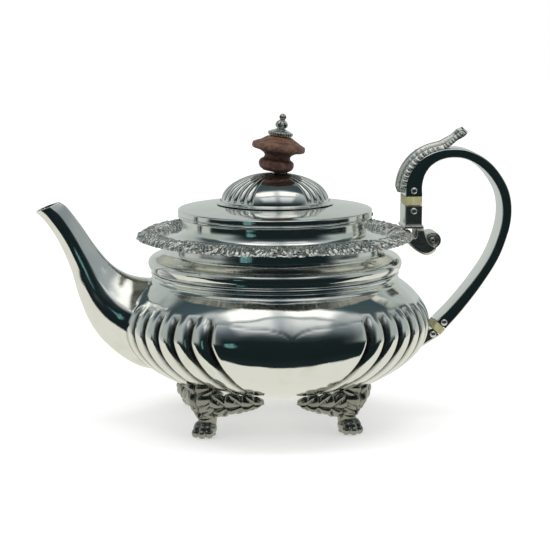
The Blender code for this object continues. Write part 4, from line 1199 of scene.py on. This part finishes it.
def reflection_card(name, corners, material):
    """A card that shows in reflections and nowhere else."""
    card = flat_card(name, corners, material)
    card.visible_camera = False
    card.visible_diffuse = False
    card.visible_shadow = False


def make_floor():
    """The floor that the camera sees, and the small tabletop that the silver sees."""
    material, _, shader = new_material("floor_paper")
    shader.inputs["Base Color"].default_value = (0.67, 0.67, 0.67, 1.0)
    shader.inputs["Roughness"].default_value = 0.9
    shader.inputs["Specular IOR Level"].default_value = 0.0
    shader.inputs["Emission Color"].default_value = (1.0, 1.0, 1.0, 1.0)
    shader.inputs["Emission Strength"].default_value = 0.43
    size = 3.0
    corners = [(-size, -size, 0), (size, -size, 0), (size, size, 0), (-size, size, 0)]
    flat_card("floor", corners, material).visible_glossy = False

    paper = emission("table_reflection", (0.83, 0.83, 0.74), 0.95)
    front, back, wide = -0.108, 0.30, 0.42
    z = -0.0006
    corners = [(-wide, front, z), (wide, front, z), (wide, back, z), (-wide, back, z)]
    reflection_card("table_card", corners, paper)


def soft_light(name, direction, distance, size, power):
    """A white area light that faces the pot and isn't itself mirrored."""
    data = bpy.data.lights.new(name, "AREA")
    data.shape = "RECTANGLE"
    data.size, data.size_y = size
    data.energy = power
    light = bpy.data.objects.new(name, data)
    direction = Vector(direction).normalized()
    light.location = Vector((0.0, 0.0, 0.08)) + direction * distance
    light.rotation_euler = direction.to_track_quat("Z", "Y").to_euler()
    light.visible_glossy = False
    bpy.context.scene.collection.objects.link(light)


def lobe(tree, value, middle, half, soft):
    """1 round a middle value, falling to 0 past its half width over a soft edge."""
    off = math_node(tree, "ABSOLUTE", math_node(tree, "SUBTRACT", value, middle))
    return span(tree, off, half - soft, half + soft, 1.0, 0.0)


# What a front-facing surface mirrors as it tilts: (degrees up from the viewer's side, colour)
SURROUND = (
    (-180, (0.56, 0.60, 0.58)),
    (-115, (0.50, 0.52, 0.48)),
    (-92, (0.020, 0.032, 0.034)),
    (-40, (0.009, 0.016, 0.017)),
    (14, (0.008, 0.016, 0.018)),
    (26, (0.030, 0.045, 0.050)),
    (36, (0.070, 0.090, 0.100)),
    (52, (0.190, 0.220, 0.245)),
    (67, (0.330, 0.370, 0.385)),
    (90, (0.520, 0.555, 0.550)),
    (97, (0.060, 0.090, 0.100)),
    (122, (0.045, 0.070, 0.080)),
    (141, (0.430, 0.470, 0.460)),
    (180, (0.580, 0.620, 0.590)),
)


def make_world():
    """What the silver mirrors: a dark room before it, soft lights over it and a pale wall behind it."""
    world = bpy.data.worlds.new("studio")
    bpy.context.scene.world = world
    world.use_nodes = True
    tree = world.node_tree
    tree.nodes.clear()
    where = node(tree, "ShaderNodeTexCoord").outputs["Generated"]
    x, y, z = node(tree, "ShaderNodeSeparateXYZ", None, Vector=where).outputs[:3]
    tilt = math_node(tree, "ARCTAN2", z, math_node(tree, "MULTIPLY", y, -1.0))
    tilt = math_node(tree, "MULTIPLY", tilt, 180.0 / math.pi)
    wobble = math_node(tree, "MULTIPLY_ADD", noise_node(tree, where, 4.0, 3.0), 8.0)
    wobble.node.inputs[2].default_value = -4.0
    waved = math_node(tree, "ADD", tilt, wobble)
    share = math_node(tree, "MULTIPLY_ADD", waved, 1.0 / 360.0)
    share.node.inputs[2].default_value = 0.5
    ramp = node(tree, "ShaderNodeValToRGB", None, Fac=share)
    stops = ramp.color_ramp.elements
    for i, (degrees, colour) in enumerate(SURROUND):
        place = degrees / 360.0 + 0.5
        stop = stops[i] if i < 2 else stops.new(place)
        stop.position = place
        stop.color = (*colour, 1.0)
    colour = ramp.outputs["Color"]

    plane = math_node(tree, "SQRT", math_node(tree, "SUBTRACT", 1.0, math_node(tree, "MULTIPLY", x, x)))
    aside = math_node(tree, "DIVIDE", x, plane)
    left = lobe(tree, aside, -0.27, 0.24, 0.11)
    right = lobe(tree, aside, 0.32, 0.24, 0.11)
    pair = math_node(tree, "ADD", left, right, True)
    overhead = math_node(tree, "MULTIPLY", pair, lobe(tree, tilt, 83.0, 9.0, 2.5))
    colour = mix_colour(tree, overhead, colour, (1.25, 1.25, 1.18, 1.0))
    front = math_node(tree, "MULTIPLY", span(tree, tilt, 26.0, 64.0), span(tree, tilt, 66.0, 69.0, 1.0, 0.0))
    front = math_node(tree, "MULTIPLY", front, pair)
    colour = mix_colour(tree, math_node(tree, "MULTIPLY", front, 0.8), colour, (0.95, 0.97, 0.96, 1.0))
    sideways = span(tree, math_node(tree, "ABSOLUTE", aside), 0.9, 2.4)
    flank = math_node(tree, "MULTIPLY", sideways, span(tree, z, -0.12, 0.05))
    colour = mix_colour(tree, flank, colour, (0.40, 0.44, 0.42, 1.0))

    mirrored = node(tree, "ShaderNodeLightPath").outputs["Is Glossy Ray"]
    colour = mix_colour(tree, mirrored, (1.0, 1.0, 1.0, 1.0), colour)
    background = node(tree, "ShaderNodeBackground", None, Color=colour, Strength=1.0)
    out = tree.nodes.new("ShaderNodeOutputWorld")
    tree.links.new(background.outputs[0], out.inputs[0])


def make_studio():
    """Floor, surroundings, two lights overhead and three window panes in the reflections."""
    make_floor()
    make_world()
    soft_light("overhead_left", (-0.27, -0.10, 0.96), 1.15, (0.3, 0.4), 1.6)
    soft_light("overhead_right", (0.30, -0.10, 0.95), 1.15, (0.3, 0.4), 1.6)
    glass = emission("window_light", (0.24, 0.55, 0.55), 0.6)
    panes = (-0.98, -0.86, -0.10, 0.16), (-0.83, -0.74, -0.06, 0.20), (-0.70, -0.66, 0.00, 0.12)
    y = -1.1
    for i, (left, right, low, high) in enumerate(panes):
        corners = [(left, y, low), (right, y, low), (right, y, high), (left, y, high)]
        reflection_card(f"window_{i}", corners, glass)
    scene = bpy.context.scene
    scene.view_settings.view_transform = "Standard"
    scene.view_settings.look = "None"


make_studio()
